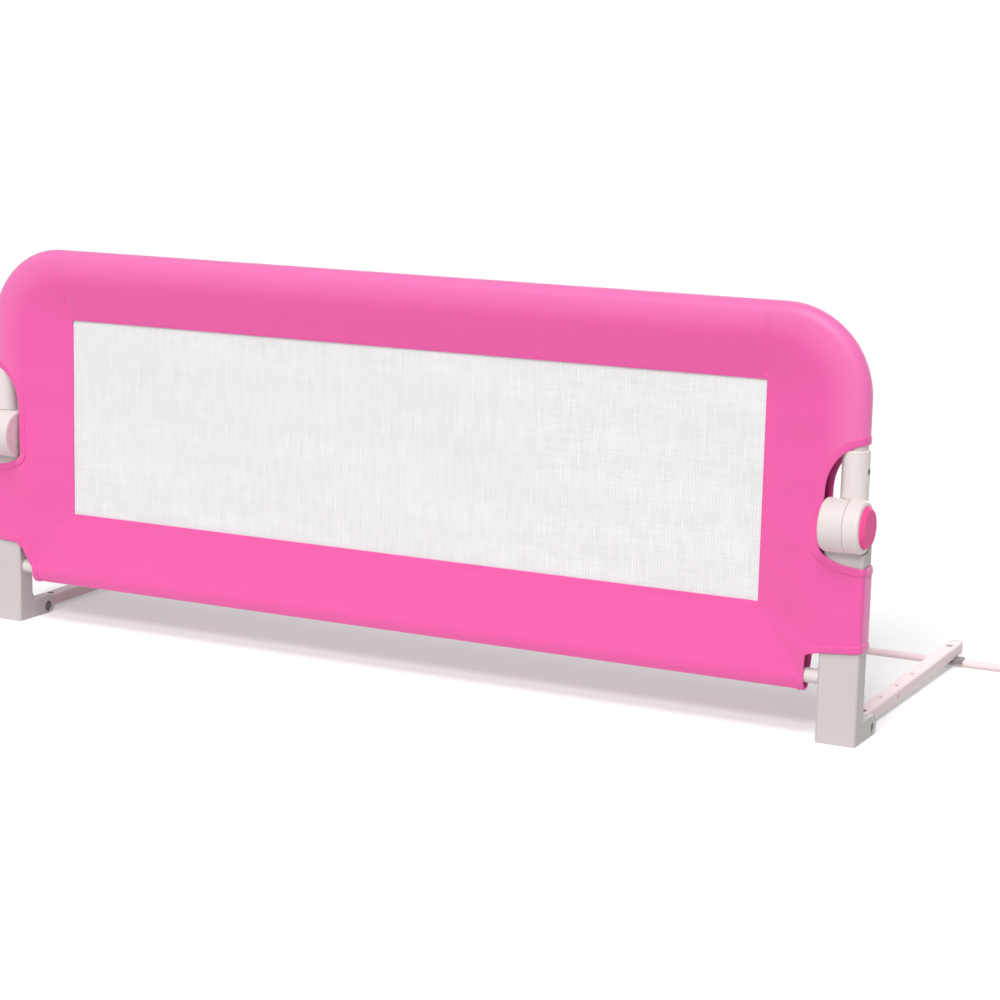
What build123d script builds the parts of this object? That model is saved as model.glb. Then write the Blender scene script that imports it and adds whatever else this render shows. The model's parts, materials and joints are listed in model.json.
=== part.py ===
from build123d import *
import math
import os

# Fold-down bed rail. X runs along the rail, +Y points under the mattress, +Z is up.
# The origin is on the floor, in the middle of the rail's length and of its whole depth.
# Right-hand pieces are modelled, and left-hand pieces are their mirror images.

# Rail
RAIL_LENGTH = 1020.0  # over the two button faces
COVER_TOP = 414.0  # top edge of the cover above the floor

# Legs
LEG_WIDTH = 40.0
LEG_DEPTH = 24.0
LEG_WALL = 2.5
LEG_CORNER = 3.0
LEG_ROOF = 6.0  # solid plastic between the leg's hollow and the barrel
PLUG_HEIGHT = 9.0
PLUG_CLEARANCE = 0.2

# Ears that hold the arm at the foot of each leg
EAR_REACH = 50.0  # behind the middle plane of the rail
EAR_HEIGHT = 20.0
EAR_ROUND = 9.5
EAR_SLOT_CLEARANCE = 0.4
PIVOT_REACH = 39.0  # behind the middle plane of the rail
PIVOT_HEIGHT = 8.0
PIVOT_SCREW_RADIUS = 3.0
PIVOT_HEAD_RADIUS = 4.6
PIVOT_HEAD_HEIGHT = 3.4
PIVOT_NUT_RADIUS = 5.4
PIVOT_NUT_HEIGHT = 4.4
RECESS_CLEARANCE = 0.5
RUNNING_CLEARANCE = 0.05  # radial room of a shaft in its hole

# Hinge barrel
HINGE_HEIGHT = 210.0
HINGE_FORWARD = 10.0  # axis ahead of the middle plane of the rail
BARREL_RADIUS = 25.3
BARREL_EDGE = 3.0
INNER_KNUCKLE = 24.5  # length of the leg's half of the barrel
KNUCKLE_GAP = 0.4
TURN_CLEARANCE = 0.5

# Lock inside the barrel
CAP_RADIUS = 14.0
CAP_THICKNESS = 1.5
CAP_EDGE = 0.5
CAP_CLEARANCE = 0.2
BOLT_RADIUS = 4.0
BOLT_HEAD_RADIUS = 6.5
BOLT_HEAD_HEIGHT = 4.5
BOLT_HEAD_ROOM = 0.4
END_WALL = 3.0
SPLINE_COUNT = 8
SPLINE_RADIUS = 17.2  # bore between the spline slots
SPLINE_DEPTH = 2.0
SPLINE_WIDTH = 4.6
SPLINE_CLEARANCE = 0.3
LOCK_KEY_LENGTH = 9.5
LOCK_NOSE_LENGTH = 3.9
LOCK_ROOF = 2.9
LOCK_CAVITY = 5.3  # depth of the outer knuckle's lock cavity
WEB_THICKNESS = 3.0
NUT_RADIUS = 7.4
NUT_HEIGHT = 4.0
NUT_GAP = 0.2
BOLT_TIP = 0.2
SPRING_RADIUS = 6.6
SPRING_WIRE_RADIUS = 0.65
SPRING_POCKET_RADIUS = 9.0
SPRING_TURNS = 4.5
SPRING_SEAT_GAP = 0.1

# Push button
BUTTON_RADIUS = 20.0
BUTTON_CLEARANCE = 0.3
BUTTON_PROUD = 4.5
BUTTON_BEVEL = 3.0
BUTTON_SKIRT = 2.5  # depth of the skirt inside the barrel at rest
BUTTON_WALL = 2.3
BUTTON_ROOF = 2.5
PRONG_COUNT = 3
PRONG_CIRCLE = 12.0
PRONG_RADIUS = 2.0
PRONG_COLLAR_RADIUS = 2.7
PRONG_COLLAR_LENGTH = 1.2
PRONG_GAP = 0.2
PRONG_HOLE_CLEARANCE = 0.4

# Sockets and tubes
POST_INSET = 16.0  # socket middle inside the leg's outer face
POST_RADIUS = 13.2
POST_RISE = 71.0  # top of the socket above the hinge axis
POST_EDGE = 1.5
POST_STEP = 12.0  # underside of the socket's overhang above the hinge axis
TUBE_RADIUS = 11.0
TUBE_WALL = 1.2
TUBE_SEAT_RISE = 28.0  # foot of the rail tube above the hinge axis
TUBE_CLEARANCE = 0.15
TUBE_BEND = 74.0
CROSS_TUBE_RADIUS = 7.5
CROSS_TUBE_WALL = 1.2
CROSS_TUBE_HEIGHT = 61.0
CROSS_BOSS_WALL = 1.5
CROSS_BOSS_LENGTH = 8.0
SCREW_RADIUS = 1.5
SCREW_HEAD_RADIUS = 3.2
SCREW_HEAD_HEIGHT = 1.4
SCREW_HEAD_DEPTH = 0.3  # screw head below the surface it sits in
SCREW_BITE = 4.0  # screw length inside the tube wall
SOCKET_SCREW_RISE = 51.0  # above the hinge axis

# Arms
ARM_WIDTH = 16.0
ARM_HEIGHT = 12.5
ARM_WALL = 1.5
ARM_EDGE = 2.0
ARM_REACH = 335.0  # from the pivot to the end of the tube
ARM_SOLID = 14.0  # solid length behind the pivot
ARM_NOSE_ROUND = 1.8
ARM_PLUG_DEPTH = 15.0
ACCESS_RADIUS = 4.0
NEAR_ACCESS = 31.0  # from the pivot
FIXING_RADIUS = 2.0
FIXING_START = 85.0  # from the pivot
FIXING_PITCH = 50.0
FIXING_COUNT = 3
SIDE_HOLE = 116.0  # from the pivot

# Crossbar rods
ROD_RADIUS = 3.6
ROD_LENGTH = 240.0
ROD_INSET = 20.0  # from the end of the tube
ROD_CAP_WALL = 0.6
ROD_CAP_LENGTH = 14.0
ROD_CAP_END = 1.6
ROD_CAP_CLEARANCE = 0.05
SADDLE_LENGTH = 32.0
SADDLE_WIDTH = 14.0
SADDLE_THICKNESS = 1.2
SADDLE_EDGE = 1.0
SADDLE_CLEARANCE = 0.1
SADDLE_SCREW_RADIUS = 2.0
SADDLE_HEAD_RADIUS = 3.5
SADDLE_HEAD_HEIGHT = 2.4

# Cover and window mesh
FABRIC = 1.2
FABRIC_GAP = 0.4
PANEL_STEP = 1.4  # panel face behind the front of the tube sleeve
WINDOW_WIDTH = 798.0
WINDOW_BOTTOM = 125.5
WINDOW_TOP = 337.5
WINDOW_HEM = 8.0
HEM_THICKNESS = 3.2
MESH_THICKNESS = 0.8
MESH_CLEARANCE = 0.2
COVER_SPLIT_GAP = 0.3  # half the gap between the two cover halves
NOTCH_TOP = 90.0
NOTCH_INSET = 52.5  # notch edge inside the leg's outer face
CUTOUT_RISE = 74.0  # top of the opening above the hinge axis
CUTOUT_FALL = 46.0  # bottom of the opening below the hinge axis
CUTOUT_TOP_INSET = 28.5  # upper corner inside the leg's outer face
CUTOUT_CLEARANCE = 1.5  # straight edge inside the end of the barrel
CUTOUT_BOTTOM_CLEARANCE = 3.0  # lower corner inside the end of the barrel
CUTOUT_KNEE_RISE = 4.0  # where the edge turns, above the barrel
CUTOUT_ROUND = 14.0
FOLD_RELIEF = 0.2  # run of the lower cover's bevelled top edge, per unit of height

# Room for a cut to pass its surface
OVERCUT = 5.0

# Places along X
LEG_OUTER = RAIL_LENGTH / 2 - BUTTON_PROUD
LEG_INNER = LEG_OUTER - LEG_WIDTH
LEG_X = LEG_OUTER - LEG_WIDTH / 2
POST_X = LEG_OUTER - POST_INSET
SPLIT_X = LEG_INNER + INNER_KNUCKLE
UPPER_X = SPLIT_X + KNUCKLE_GAP
HEAD_SEAT_X = LEG_INNER + CAP_THICKNESS + BOLT_HEAD_ROOM + BOLT_HEAD_HEIGHT
POCKET_X = HEAD_SEAT_X + END_WALL
WEB_X = UPPER_X + LOCK_CAVITY
BUTTON_BORE_X = WEB_X + WEB_THICKNESS
NUT_X = BUTTON_BORE_X + NUT_GAP
BOLT_END_X = NUT_X + NUT_HEIGHT + BOLT_TIP
LOCK_BACK_X = SPLIT_X - LOCK_KEY_LENGTH
LOCK_FACE_X = SPLIT_X + LOCK_NOSE_LENGTH
LOCK_FLOOR_X = LOCK_FACE_X - LOCK_ROOF
PRONG_END_X = LOCK_FACE_X + PRONG_GAP
BUTTON_FACE_X = RAIL_LENGTH / 2
BUTTON_ROOF_X = BUTTON_FACE_X - BUTTON_ROOF
BUTTON_BACK_X = LEG_OUTER - BUTTON_SKIRT

# Tilt at which an arm lies with its crossbar caps on the floor
ROD_DISTANCE = ARM_REACH - ROD_INSET
ROD_CAP_RADIUS = ROD_RADIUS + ROD_CAP_CLEARANCE + ROD_CAP_WALL
ROD_DROP = ARM_HEIGHT / 2 + SADDLE_THICKNESS + ROD_RADIUS
ROD_SPAN = math.hypot(ROD_DISTANCE, ROD_DROP)
ARM_TILT = math.degrees(
    math.asin((ROD_CAP_RADIUS - PIVOT_HEIGHT) / ROD_SPAN) + math.atan2(ROD_DROP, ROD_DISTANCE)
)

# Places along Y: the rail's middle plane, so that the whole depth is centred on the origin
NOSE_REACH = ARM_REACH + ARM_WIDTH / 2
FRONT_REACH = HINGE_FORWARD + BARREL_RADIUS
REAR_REACH = PIVOT_REACH + NOSE_REACH * math.cos(math.radians(ARM_TILT))
RAIL_Y = (FRONT_REACH - REAR_REACH) / 2
HINGE_Y = RAIL_Y - HINGE_FORWARD
PIVOT_Y = RAIL_Y + PIVOT_REACH
ARM_END_Y = PIVOT_Y + ARM_REACH
ROD_Y = PIVOT_Y + ROD_DISTANCE
PIVOT_AXIS = Axis((0, PIVOT_Y, PIVOT_HEIGHT), (1, 0, 0))

# Places along Z
CAVITY_TOP = HINGE_HEIGHT - BARREL_RADIUS - LEG_ROOF
POST_TOP = HINGE_HEIGHT + POST_RISE
TUBE_SEAT = HINGE_HEIGHT + TUBE_SEAT_RISE
SOCKET_SCREW_HEIGHT = HINGE_HEIGHT + SOCKET_SCREW_RISE
CUTOUT_TOP = HINGE_HEIGHT + CUTOUT_RISE
CUTOUT_BOTTOM = HINGE_HEIGHT - CUTOUT_FALL
SLEEVE_RADIUS = TUBE_RADIUS + FABRIC_GAP + FABRIC
TUBE_TOP = COVER_TOP - SLEEVE_RADIUS
ARM_BOTTOM = PIVOT_HEIGHT - ARM_HEIGHT / 2
ARM_FLOOR = ARM_BOTTOM + ARM_WALL
ROD_Z = PIVOT_HEIGHT - ROD_DROP

RAIL_PLANE = Plane.XZ.offset(-RAIL_Y)


def bar_x(start, end, y, z, radius, mode=Mode.ADD):
    """Round bar along X in the open part."""
    with Locations(((start + end) / 2, y, z)):
        Cylinder(radius, end - start, rotation=(0, 90, 0), mode=mode)


def hinge_bar(start, end, radius, mode=Mode.ADD):
    """Round bar on the hinge axis in the open part."""
    bar_x(start, end, HINGE_Y, HINGE_HEIGHT, radius, mode)


def block(low, high, mode=Mode.ADD):
    """Box between two corners in the open part."""
    size = [b - a for a, b in zip(low, high)]
    middle = tuple((a + b) / 2 for a, b in zip(low, high))
    with Locations(middle):
        Box(*size, mode=mode)


def hinge_keys(start, end, root, tip, width, mode=Mode.ADD):
    """Ring of spline keys, or slots, on the hinge axis in the open part."""
    with BuildSketch(Plane.YZ.offset(start)) as keys:
        with Locations((HINGE_Y, HINGE_HEIGHT)):
            with PolarLocations(0, SPLINE_COUNT):
                with Locations(((root + tip) / 2 - SPLINE_DEPTH / 2, 0)):
                    Rectangle(tip - root + SPLINE_DEPTH, width)
    extrude(keys.sketch, amount=end - start, mode=mode)


def hinge_prongs(start, end, radius, mode=Mode.ADD):
    """Ring of round prongs, or their holes, about the hinge axis in the open part."""
    with BuildSketch(Plane.YZ.offset(start)) as prongs:
        with Locations((HINGE_Y, HINGE_HEIGHT)):
            with PolarLocations(PRONG_CIRCLE, PRONG_COUNT):
                Circle(radius)
    extrude(prongs.sketch, amount=end - start, mode=mode)


def keep(piece, name):
    """Label a finished piece and write its STEP file."""
    piece.label = name
    export_step(piece, f"parts/{name}.step")


def keep_pair(piece, name):
    """Write a right-hand piece and its mirror image."""
    keep(piece, f"right_{name}")
    keep(mirror(piece, about=Plane.YZ), f"left_{name}")


def lay_arm(piece):
    """Tilt a piece modelled on a level arm to where the arm lies."""
    return piece.rotate(PIVOT_AXIS, ARM_TILT)


os.makedirs("parts", exist_ok=True)

# Leg with its half of the barrel and the two ears
cross_bore = CROSS_TUBE_RADIUS + TUBE_CLEARANCE
slot_half = ARM_WIDTH / 2 + EAR_SLOT_CLEARANCE
leg_back = RAIL_Y + LEG_DEPTH / 2
leg_inside = (LEG_WIDTH - 2 * LEG_WALL, LEG_DEPTH - 2 * LEG_WALL)
screw_hole = SCREW_RADIUS + RUNNING_CLEARANCE
ear_pivot = PIVOT_SCREW_RADIUS + RUNNING_CLEARANCE
with BuildPart() as leg:
    hinge_bar(LEG_INNER, SPLIT_X, BARREL_RADIUS)
    fillet(leg.edges().filter_by(GeomType.CIRCLE).sort_by(Axis.X)[0], BARREL_EDGE)
    with BuildSketch():
        with Locations((LEG_X, RAIL_Y)):
            RectangleRounded(LEG_WIDTH, LEG_DEPTH, LEG_CORNER)
    extrude(amount=HINGE_HEIGHT)
    hinge_bar(SPLIT_X, LEG_OUTER + OVERCUT, BARREL_RADIUS + TURN_CLEARANCE, Mode.SUBTRACT)
    with BuildSketch(Plane.YZ.offset(LEG_INNER)):
        with Locations((leg_back - LEG_WALL, 0)):
            Rectangle(
                EAR_REACH - LEG_DEPTH / 2 + LEG_WALL, EAR_HEIGHT, align=(Align.MIN, Align.MIN)
            )
        fillet(vertices().group_by(Axis.X)[-1], EAR_ROUND)
    extrude(amount=LEG_WIDTH)
    block(
        (LEG_X - slot_half, leg_back, -OVERCUT),
        (LEG_X + slot_half, RAIL_Y + EAR_REACH + OVERCUT, EAR_HEIGHT + OVERCUT),
        Mode.SUBTRACT,
    )
    bar_x(LEG_INNER - OVERCUT, LEG_OUTER + OVERCUT, PIVOT_Y, PIVOT_HEIGHT, ear_pivot, Mode.SUBTRACT)
    bar_x(
        LEG_OUTER - PIVOT_HEAD_HEIGHT - RECESS_CLEARANCE,
        LEG_OUTER + OVERCUT,
        PIVOT_Y,
        PIVOT_HEIGHT,
        PIVOT_HEAD_RADIUS + RECESS_CLEARANCE,
        Mode.SUBTRACT,
    )
    bar_x(
        LEG_INNER - OVERCUT,
        LEG_INNER + PIVOT_NUT_HEIGHT + RECESS_CLEARANCE,
        PIVOT_Y,
        PIVOT_HEIGHT,
        PIVOT_NUT_RADIUS + RECESS_CLEARANCE,
        Mode.SUBTRACT,
    )
    with BuildSketch():
        with Locations((LEG_X, RAIL_Y)):
            Rectangle(*leg_inside)
    extrude(amount=CAVITY_TOP, mode=Mode.SUBTRACT)
    bar_x(
        LEG_OUTER - LEG_WALL - CROSS_BOSS_LENGTH,
        LEG_OUTER - LEG_WALL / 2,
        RAIL_Y,
        CROSS_TUBE_HEIGHT,
        cross_bore + CROSS_BOSS_WALL,
    )
    bar_x(LEG_INNER - OVERCUT, LEG_OUTER - LEG_WALL, RAIL_Y, CROSS_TUBE_HEIGHT, cross_bore, Mode.SUBTRACT)
    with BuildSketch(Plane.XZ.offset(-leg_back)):
        with Locations((LEG_X, CROSS_TUBE_HEIGHT)):
            Circle(screw_hole)
    extrude(amount=LEG_DEPTH / 2, mode=Mode.SUBTRACT)
    hinge_bar(POCKET_X, SPLIT_X + OVERCUT, SPLINE_RADIUS, Mode.SUBTRACT)
    hinge_keys(
        POCKET_X, SPLIT_X, SPLINE_RADIUS, SPLINE_RADIUS + SPLINE_DEPTH, SPLINE_WIDTH, Mode.SUBTRACT
    )
    hinge_bar(LEG_INNER - OVERCUT, POCKET_X, BOLT_RADIUS + RUNNING_CLEARANCE, Mode.SUBTRACT)
    hinge_bar(
        LEG_INNER - OVERCUT, HEAD_SEAT_X, BOLT_HEAD_RADIUS + RECESS_CLEARANCE, Mode.SUBTRACT
    )
    hinge_bar(
        LEG_INNER - OVERCUT, LEG_INNER + CAP_THICKNESS, CAP_RADIUS + CAP_CLEARANCE, Mode.SUBTRACT
    )
keep_pair(leg.part, "leg")

# Plug that closes the foot of the hollow leg
with BuildPart() as foot_plug:
    with BuildSketch():
        with Locations((LEG_X, RAIL_Y)):
            Rectangle(leg_inside[0] - 2 * PLUG_CLEARANCE, leg_inside[1] - 2 * PLUG_CLEARANCE)
    extrude(amount=PLUG_HEIGHT)
    fillet(foot_plug.faces().sort_by(Axis.Z)[-1].edges(), LEG_CORNER / 2)
keep_pair(foot_plug.part, "foot_plug")

# Tube across the foot of the rail, from leg to leg
cross_end = LEG_OUTER - LEG_WALL - RECESS_CLEARANCE
with BuildPart() as lower_cross_tube:
    bar_x(-cross_end, cross_end, RAIL_Y, CROSS_TUBE_HEIGHT, CROSS_TUBE_RADIUS)
    cross_inside = CROSS_TUBE_RADIUS - CROSS_TUBE_WALL
    bar_x(-cross_end, cross_end, RAIL_Y, CROSS_TUBE_HEIGHT, cross_inside, Mode.SUBTRACT)
    with BuildSketch(RAIL_PLANE):
        with Locations((LEG_X, CROSS_TUBE_HEIGHT), (-LEG_X, CROSS_TUBE_HEIGHT)):
            Circle(screw_hole)
    extrude(amount=-LEG_DEPTH, mode=Mode.SUBTRACT)
keep(lower_cross_tube.part, "lower_cross_tube")

# Screws through the backs of the legs into the cross tube
with BuildPart() as cross_tube_screws:
    with BuildSketch(Plane.XZ.offset(-leg_back)):
        with Locations((LEG_X, CROSS_TUBE_HEIGHT), (-LEG_X, CROSS_TUBE_HEIGHT)):
            Circle(SCREW_HEAD_RADIUS)
    extrude(amount=-SCREW_HEAD_HEIGHT)
    fillet(cross_tube_screws.faces().group_by(Axis.Y)[-1].edges(), SCREW_HEAD_HEIGHT / 2)
    with BuildSketch(Plane.XZ.offset(-leg_back)):
        with Locations((LEG_X, CROSS_TUBE_HEIGHT), (-LEG_X, CROSS_TUBE_HEIGHT)):
            Circle(SCREW_RADIUS)
    extrude(amount=LEG_DEPTH / 2 - CROSS_TUBE_RADIUS + SCREW_BITE)
keep(cross_tube_screws.part, "cross_tube_screws")

# Outer half of the barrel with the socket for the rail tube
with BuildPart() as hinge_upper:
    hinge_bar(UPPER_X, LEG_OUTER, BARREL_RADIUS)
    fillet(hinge_upper.edges().filter_by(GeomType.CIRCLE).sort_by(Axis.X)[-1], BARREL_EDGE)
    with BuildSketch(Plane.XY.offset(HINGE_HEIGHT)):
        with Locations((POST_X, RAIL_Y)):
            Circle(POST_RADIUS)
    extrude(amount=POST_TOP - HINGE_HEIGHT)
    fillet(hinge_upper.edges().filter_by(GeomType.CIRCLE).sort_by(Axis.Z)[-1], POST_EDGE)
    hinge_bar(LEG_INNER - OVERCUT, UPPER_X, BARREL_RADIUS + TURN_CLEARANCE, Mode.SUBTRACT)
    block(
        (LEG_INNER - OVERCUT, RAIL_Y - LEG_WIDTH, HINGE_HEIGHT - OVERCUT),
        (UPPER_X, RAIL_Y + LEG_WIDTH, HINGE_HEIGHT + POST_STEP),
        Mode.SUBTRACT,
    )
    with BuildSketch(Plane.XY.offset(TUBE_SEAT)):
        with Locations((POST_X, RAIL_Y)):
            Circle(TUBE_RADIUS + TUBE_CLEARANCE)
    extrude(amount=POST_TOP - TUBE_SEAT, mode=Mode.SUBTRACT)
    hinge_bar(UPPER_X - OVERCUT, WEB_X, SPLINE_RADIUS, Mode.SUBTRACT)
    hinge_keys(
        UPPER_X, WEB_X, SPLINE_RADIUS, SPLINE_RADIUS + SPLINE_DEPTH, SPLINE_WIDTH, Mode.SUBTRACT
    )
    hinge_bar(WEB_X, BUTTON_BORE_X, BOLT_RADIUS + RUNNING_CLEARANCE, Mode.SUBTRACT)
    hinge_prongs(WEB_X, BUTTON_BORE_X, PRONG_RADIUS + PRONG_HOLE_CLEARANCE, Mode.SUBTRACT)
    hinge_bar(BUTTON_BORE_X, LEG_OUTER + OVERCUT, BUTTON_RADIUS + BUTTON_CLEARANCE, Mode.SUBTRACT)
    post_face = POST_X + POST_RADIUS
    screw_seat = post_face - SCREW_HEAD_DEPTH - SCREW_HEAD_HEIGHT
    bar_x(
        screw_seat,
        post_face + OVERCUT,
        RAIL_Y,
        SOCKET_SCREW_HEIGHT,
        SCREW_HEAD_RADIUS + TUBE_CLEARANCE,
        Mode.SUBTRACT,
    )
    bar_x(POST_X, post_face, RAIL_Y, SOCKET_SCREW_HEIGHT, screw_hole, Mode.SUBTRACT)
keep_pair(hinge_upper.part, "hinge_upper")

# Bent tube inside the upper half of the cover
with BuildPart() as top_rail_tube:
    with BuildLine(RAIL_PLANE) as rail_path:
        FilletPolyline(
            (POST_X, TUBE_SEAT),
            (POST_X, TUBE_TOP),
            (-POST_X, TUBE_TOP),
            (-POST_X, TUBE_SEAT),
            radius=TUBE_BEND,
        )
    with BuildSketch(Plane.XY.offset(TUBE_SEAT)):
        with Locations((POST_X, RAIL_Y)):
            Circle(TUBE_RADIUS)
            Circle(TUBE_RADIUS - TUBE_WALL, mode=Mode.SUBTRACT)
    sweep(path=rail_path.wire())
    bar_x(POST_X, post_face, RAIL_Y, SOCKET_SCREW_HEIGHT, screw_hole, Mode.SUBTRACT)
    bar_x(-post_face, -POST_X, RAIL_Y, SOCKET_SCREW_HEIGHT, screw_hole, Mode.SUBTRACT)
keep(top_rail_tube.part, "top_rail_tube")

# Screws that hold the rail tube in its sockets
with BuildPart() as socket_screws:
    bar_x(screw_seat, screw_seat + SCREW_HEAD_HEIGHT, RAIL_Y, SOCKET_SCREW_HEIGHT, SCREW_HEAD_RADIUS)
    bar_x(
        POST_X + TUBE_RADIUS - SCREW_BITE, screw_seat, RAIL_Y, SOCKET_SCREW_HEIGHT, SCREW_RADIUS
    )
    mirror(about=Plane.YZ)
keep(socket_screws.part, "socket_screws")

# Hinge bolt, its nut and the cap over its head
with BuildPart() as hinge_bolt:
    hinge_bar(HEAD_SEAT_X - BOLT_HEAD_HEIGHT, HEAD_SEAT_X, BOLT_HEAD_RADIUS)
    hinge_bar(HEAD_SEAT_X, BOLT_END_X, BOLT_RADIUS)
keep_pair(hinge_bolt.part, "hinge_bolt")

with BuildPart() as hinge_nut:
    with BuildSketch(Plane.YZ.offset(NUT_X)):
        with Locations((HINGE_Y, HINGE_HEIGHT)):
            RegularPolygon(NUT_RADIUS, 6)
            Circle(BOLT_RADIUS + RUNNING_CLEARANCE, mode=Mode.SUBTRACT)
    extrude(amount=NUT_HEIGHT)
keep_pair(hinge_nut.part, "hinge_nut")

with BuildPart() as hinge_cap:
    hinge_bar(LEG_INNER, LEG_INNER + CAP_THICKNESS, CAP_RADIUS)
    chamfer(hinge_cap.edges().filter_by(GeomType.CIRCLE).sort_by(Axis.X)[0], CAP_EDGE)
keep_pair(hinge_cap.part, "hinge_cap")

# Splined lock ring that slides in the leg's knuckle
ring_radius = SPLINE_RADIUS - SPLINE_CLEARANCE
with BuildPart() as lock_ring:
    hinge_bar(LOCK_BACK_X, LOCK_FACE_X, ring_radius)
    hinge_keys(
        LOCK_BACK_X,
        SPLIT_X,
        ring_radius,
        ring_radius + SPLINE_DEPTH,
        SPLINE_WIDTH - 2 * SPLINE_CLEARANCE,
    )
    hinge_bar(LOCK_BACK_X, LOCK_FLOOR_X, SPRING_POCKET_RADIUS, Mode.SUBTRACT)
    hinge_bar(LOCK_FLOOR_X, LOCK_FACE_X, BOLT_RADIUS + SPLINE_CLEARANCE, Mode.SUBTRACT)
keep_pair(lock_ring.part, "lock_ring")

# Coil spring between the knuckle's end wall and the lock ring
spring_start = POCKET_X + SPRING_SEAT_GAP + SPRING_WIRE_RADIUS
spring_end = LOCK_FLOOR_X - SPRING_SEAT_GAP - SPRING_WIRE_RADIUS
with BuildPart() as return_spring:
    with BuildLine() as coil:
        Helix(
            pitch=(spring_end - spring_start) / SPRING_TURNS,
            height=spring_end - spring_start,
            radius=SPRING_RADIUS,
            center=(spring_start, HINGE_Y, HINGE_HEIGHT),
            direction=(1, 0, 0),
        )
    with BuildSketch(Plane(origin=coil.line @ 0, z_dir=coil.line % 0)):
        Circle(SPRING_WIRE_RADIUS)
    sweep(path=coil.line, is_frenet=True)
keep_pair(return_spring.part, "return_spring")

# Push button with the prongs that reach the lock ring
with BuildPart() as button:
    hinge_bar(BUTTON_BACK_X, BUTTON_FACE_X, BUTTON_RADIUS)
    chamfer(button.edges().filter_by(GeomType.CIRCLE).sort_by(Axis.X)[-1], BUTTON_BEVEL)
    hinge_bar(BUTTON_BACK_X, BUTTON_ROOF_X, BUTTON_RADIUS - BUTTON_WALL, Mode.SUBTRACT)
    hinge_prongs(PRONG_END_X, BUTTON_ROOF_X, PRONG_RADIUS)
    hinge_prongs(PRONG_END_X, PRONG_END_X + PRONG_COLLAR_LENGTH, PRONG_COLLAR_RADIUS)
keep_pair(button.part, "button")

# Arm under the mattress, modelled level
arm_left = LEG_X - ARM_WIDTH / 2
arm_inside = (ARM_WIDTH - 2 * ARM_WALL, ARM_HEIGHT - 2 * ARM_WALL)
fixing_places = [FIXING_START + FIXING_PITCH * i for i in range(FIXING_COUNT)]
with BuildPart() as arm:
    with BuildSketch(Plane.YZ.offset(arm_left)):
        with Locations((PIVOT_Y, PIVOT_HEIGHT)):
            Circle(ARM_HEIGHT / 2)
            Rectangle(ARM_REACH, ARM_HEIGHT, align=(Align.MIN, Align.CENTER))
    extrude(amount=ARM_WIDTH)
    fillet(arm.edges().filter_by(Axis.Y), ARM_EDGE)
    with BuildSketch(Plane.XZ.offset(-ARM_END_Y)):
        with Locations((LEG_X, PIVOT_HEIGHT)):
            Rectangle(*arm_inside)
    extrude(amount=ARM_REACH - ARM_SOLID, mode=Mode.SUBTRACT)
    bar_x(arm_left, arm_left + ARM_WIDTH, PIVOT_Y, PIVOT_HEIGHT, ear_pivot, Mode.SUBTRACT)
    with BuildSketch(Plane.XY.offset(PIVOT_HEIGHT)):
        with Locations((LEG_X, PIVOT_Y + NEAR_ACCESS), (LEG_X, ROD_Y)):
            Circle(ACCESS_RADIUS)
    extrude(amount=ARM_HEIGHT, mode=Mode.SUBTRACT)
    with BuildSketch(Plane.XY.offset(ARM_BOTTOM)):
        with Locations([(LEG_X, PIVOT_Y + place) for place in fixing_places]):
            Circle(FIXING_RADIUS)
        with Locations((LEG_X, ROD_Y)):
            Circle(SADDLE_SCREW_RADIUS + RUNNING_CLEARANCE)
    extrude(amount=ARM_HEIGHT, mode=Mode.SUBTRACT)
    bar_x(
        arm_left,
        arm_left + ARM_WIDTH,
        PIVOT_Y + SIDE_HOLE,
        PIVOT_HEIGHT,
        FIXING_RADIUS,
        Mode.SUBTRACT,
    )
keep_pair(lay_arm(arm.part), "arm")

# Round-nosed plug in the far end of the arm
plug_size = [side - 2 * PLUG_CLEARANCE for side in arm_inside]
with BuildPart() as arm_plug:
    with BuildSketch(Plane.XY.offset(ARM_BOTTOM)):
        with Locations((LEG_X, ARM_END_Y)):
            Circle(ARM_WIDTH / 2)
            with Locations((0, -ARM_WIDTH)):
                Rectangle(2 * ARM_WIDTH, 2 * ARM_WIDTH, mode=Mode.SUBTRACT)
    extrude(amount=ARM_HEIGHT)
    fillet(arm_plug.edges().filter_by(GeomType.CIRCLE), ARM_NOSE_ROUND)
    with BuildSketch(Plane.XZ.offset(-ARM_END_Y)):
        with Locations((LEG_X, PIVOT_HEIGHT)):
            Rectangle(*plug_size)
    extrude(amount=ARM_PLUG_DEPTH)
keep_pair(lay_arm(arm_plug.part), "arm_plug")

# Pivot screw through the ears and the arm, and its nut
with BuildPart() as pivot_screw:
    head_seat = LEG_OUTER - RECESS_CLEARANCE - PIVOT_HEAD_HEIGHT
    bar_x(head_seat, head_seat + PIVOT_HEAD_HEIGHT, PIVOT_Y, PIVOT_HEIGHT, PIVOT_HEAD_RADIUS)
    bar_x(LEG_INNER + RECESS_CLEARANCE, head_seat, PIVOT_Y, PIVOT_HEIGHT, PIVOT_SCREW_RADIUS)
    chamfer(pivot_screw.edges().filter_by(GeomType.CIRCLE).sort_by(Axis.X)[-1], RECESS_CLEARANCE)
keep_pair(pivot_screw.part, "pivot_screw")

with BuildPart() as pivot_nut:
    with BuildSketch(Plane.YZ.offset(LEG_INNER + RECESS_CLEARANCE)):
        with Locations((PIVOT_Y, PIVOT_HEIGHT)):
            RegularPolygon(PIVOT_NUT_RADIUS, 6)
            Circle(ear_pivot, mode=Mode.SUBTRACT)
    extrude(amount=PIVOT_NUT_HEIGHT)
keep_pair(pivot_nut.part, "pivot_nut")

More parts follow.
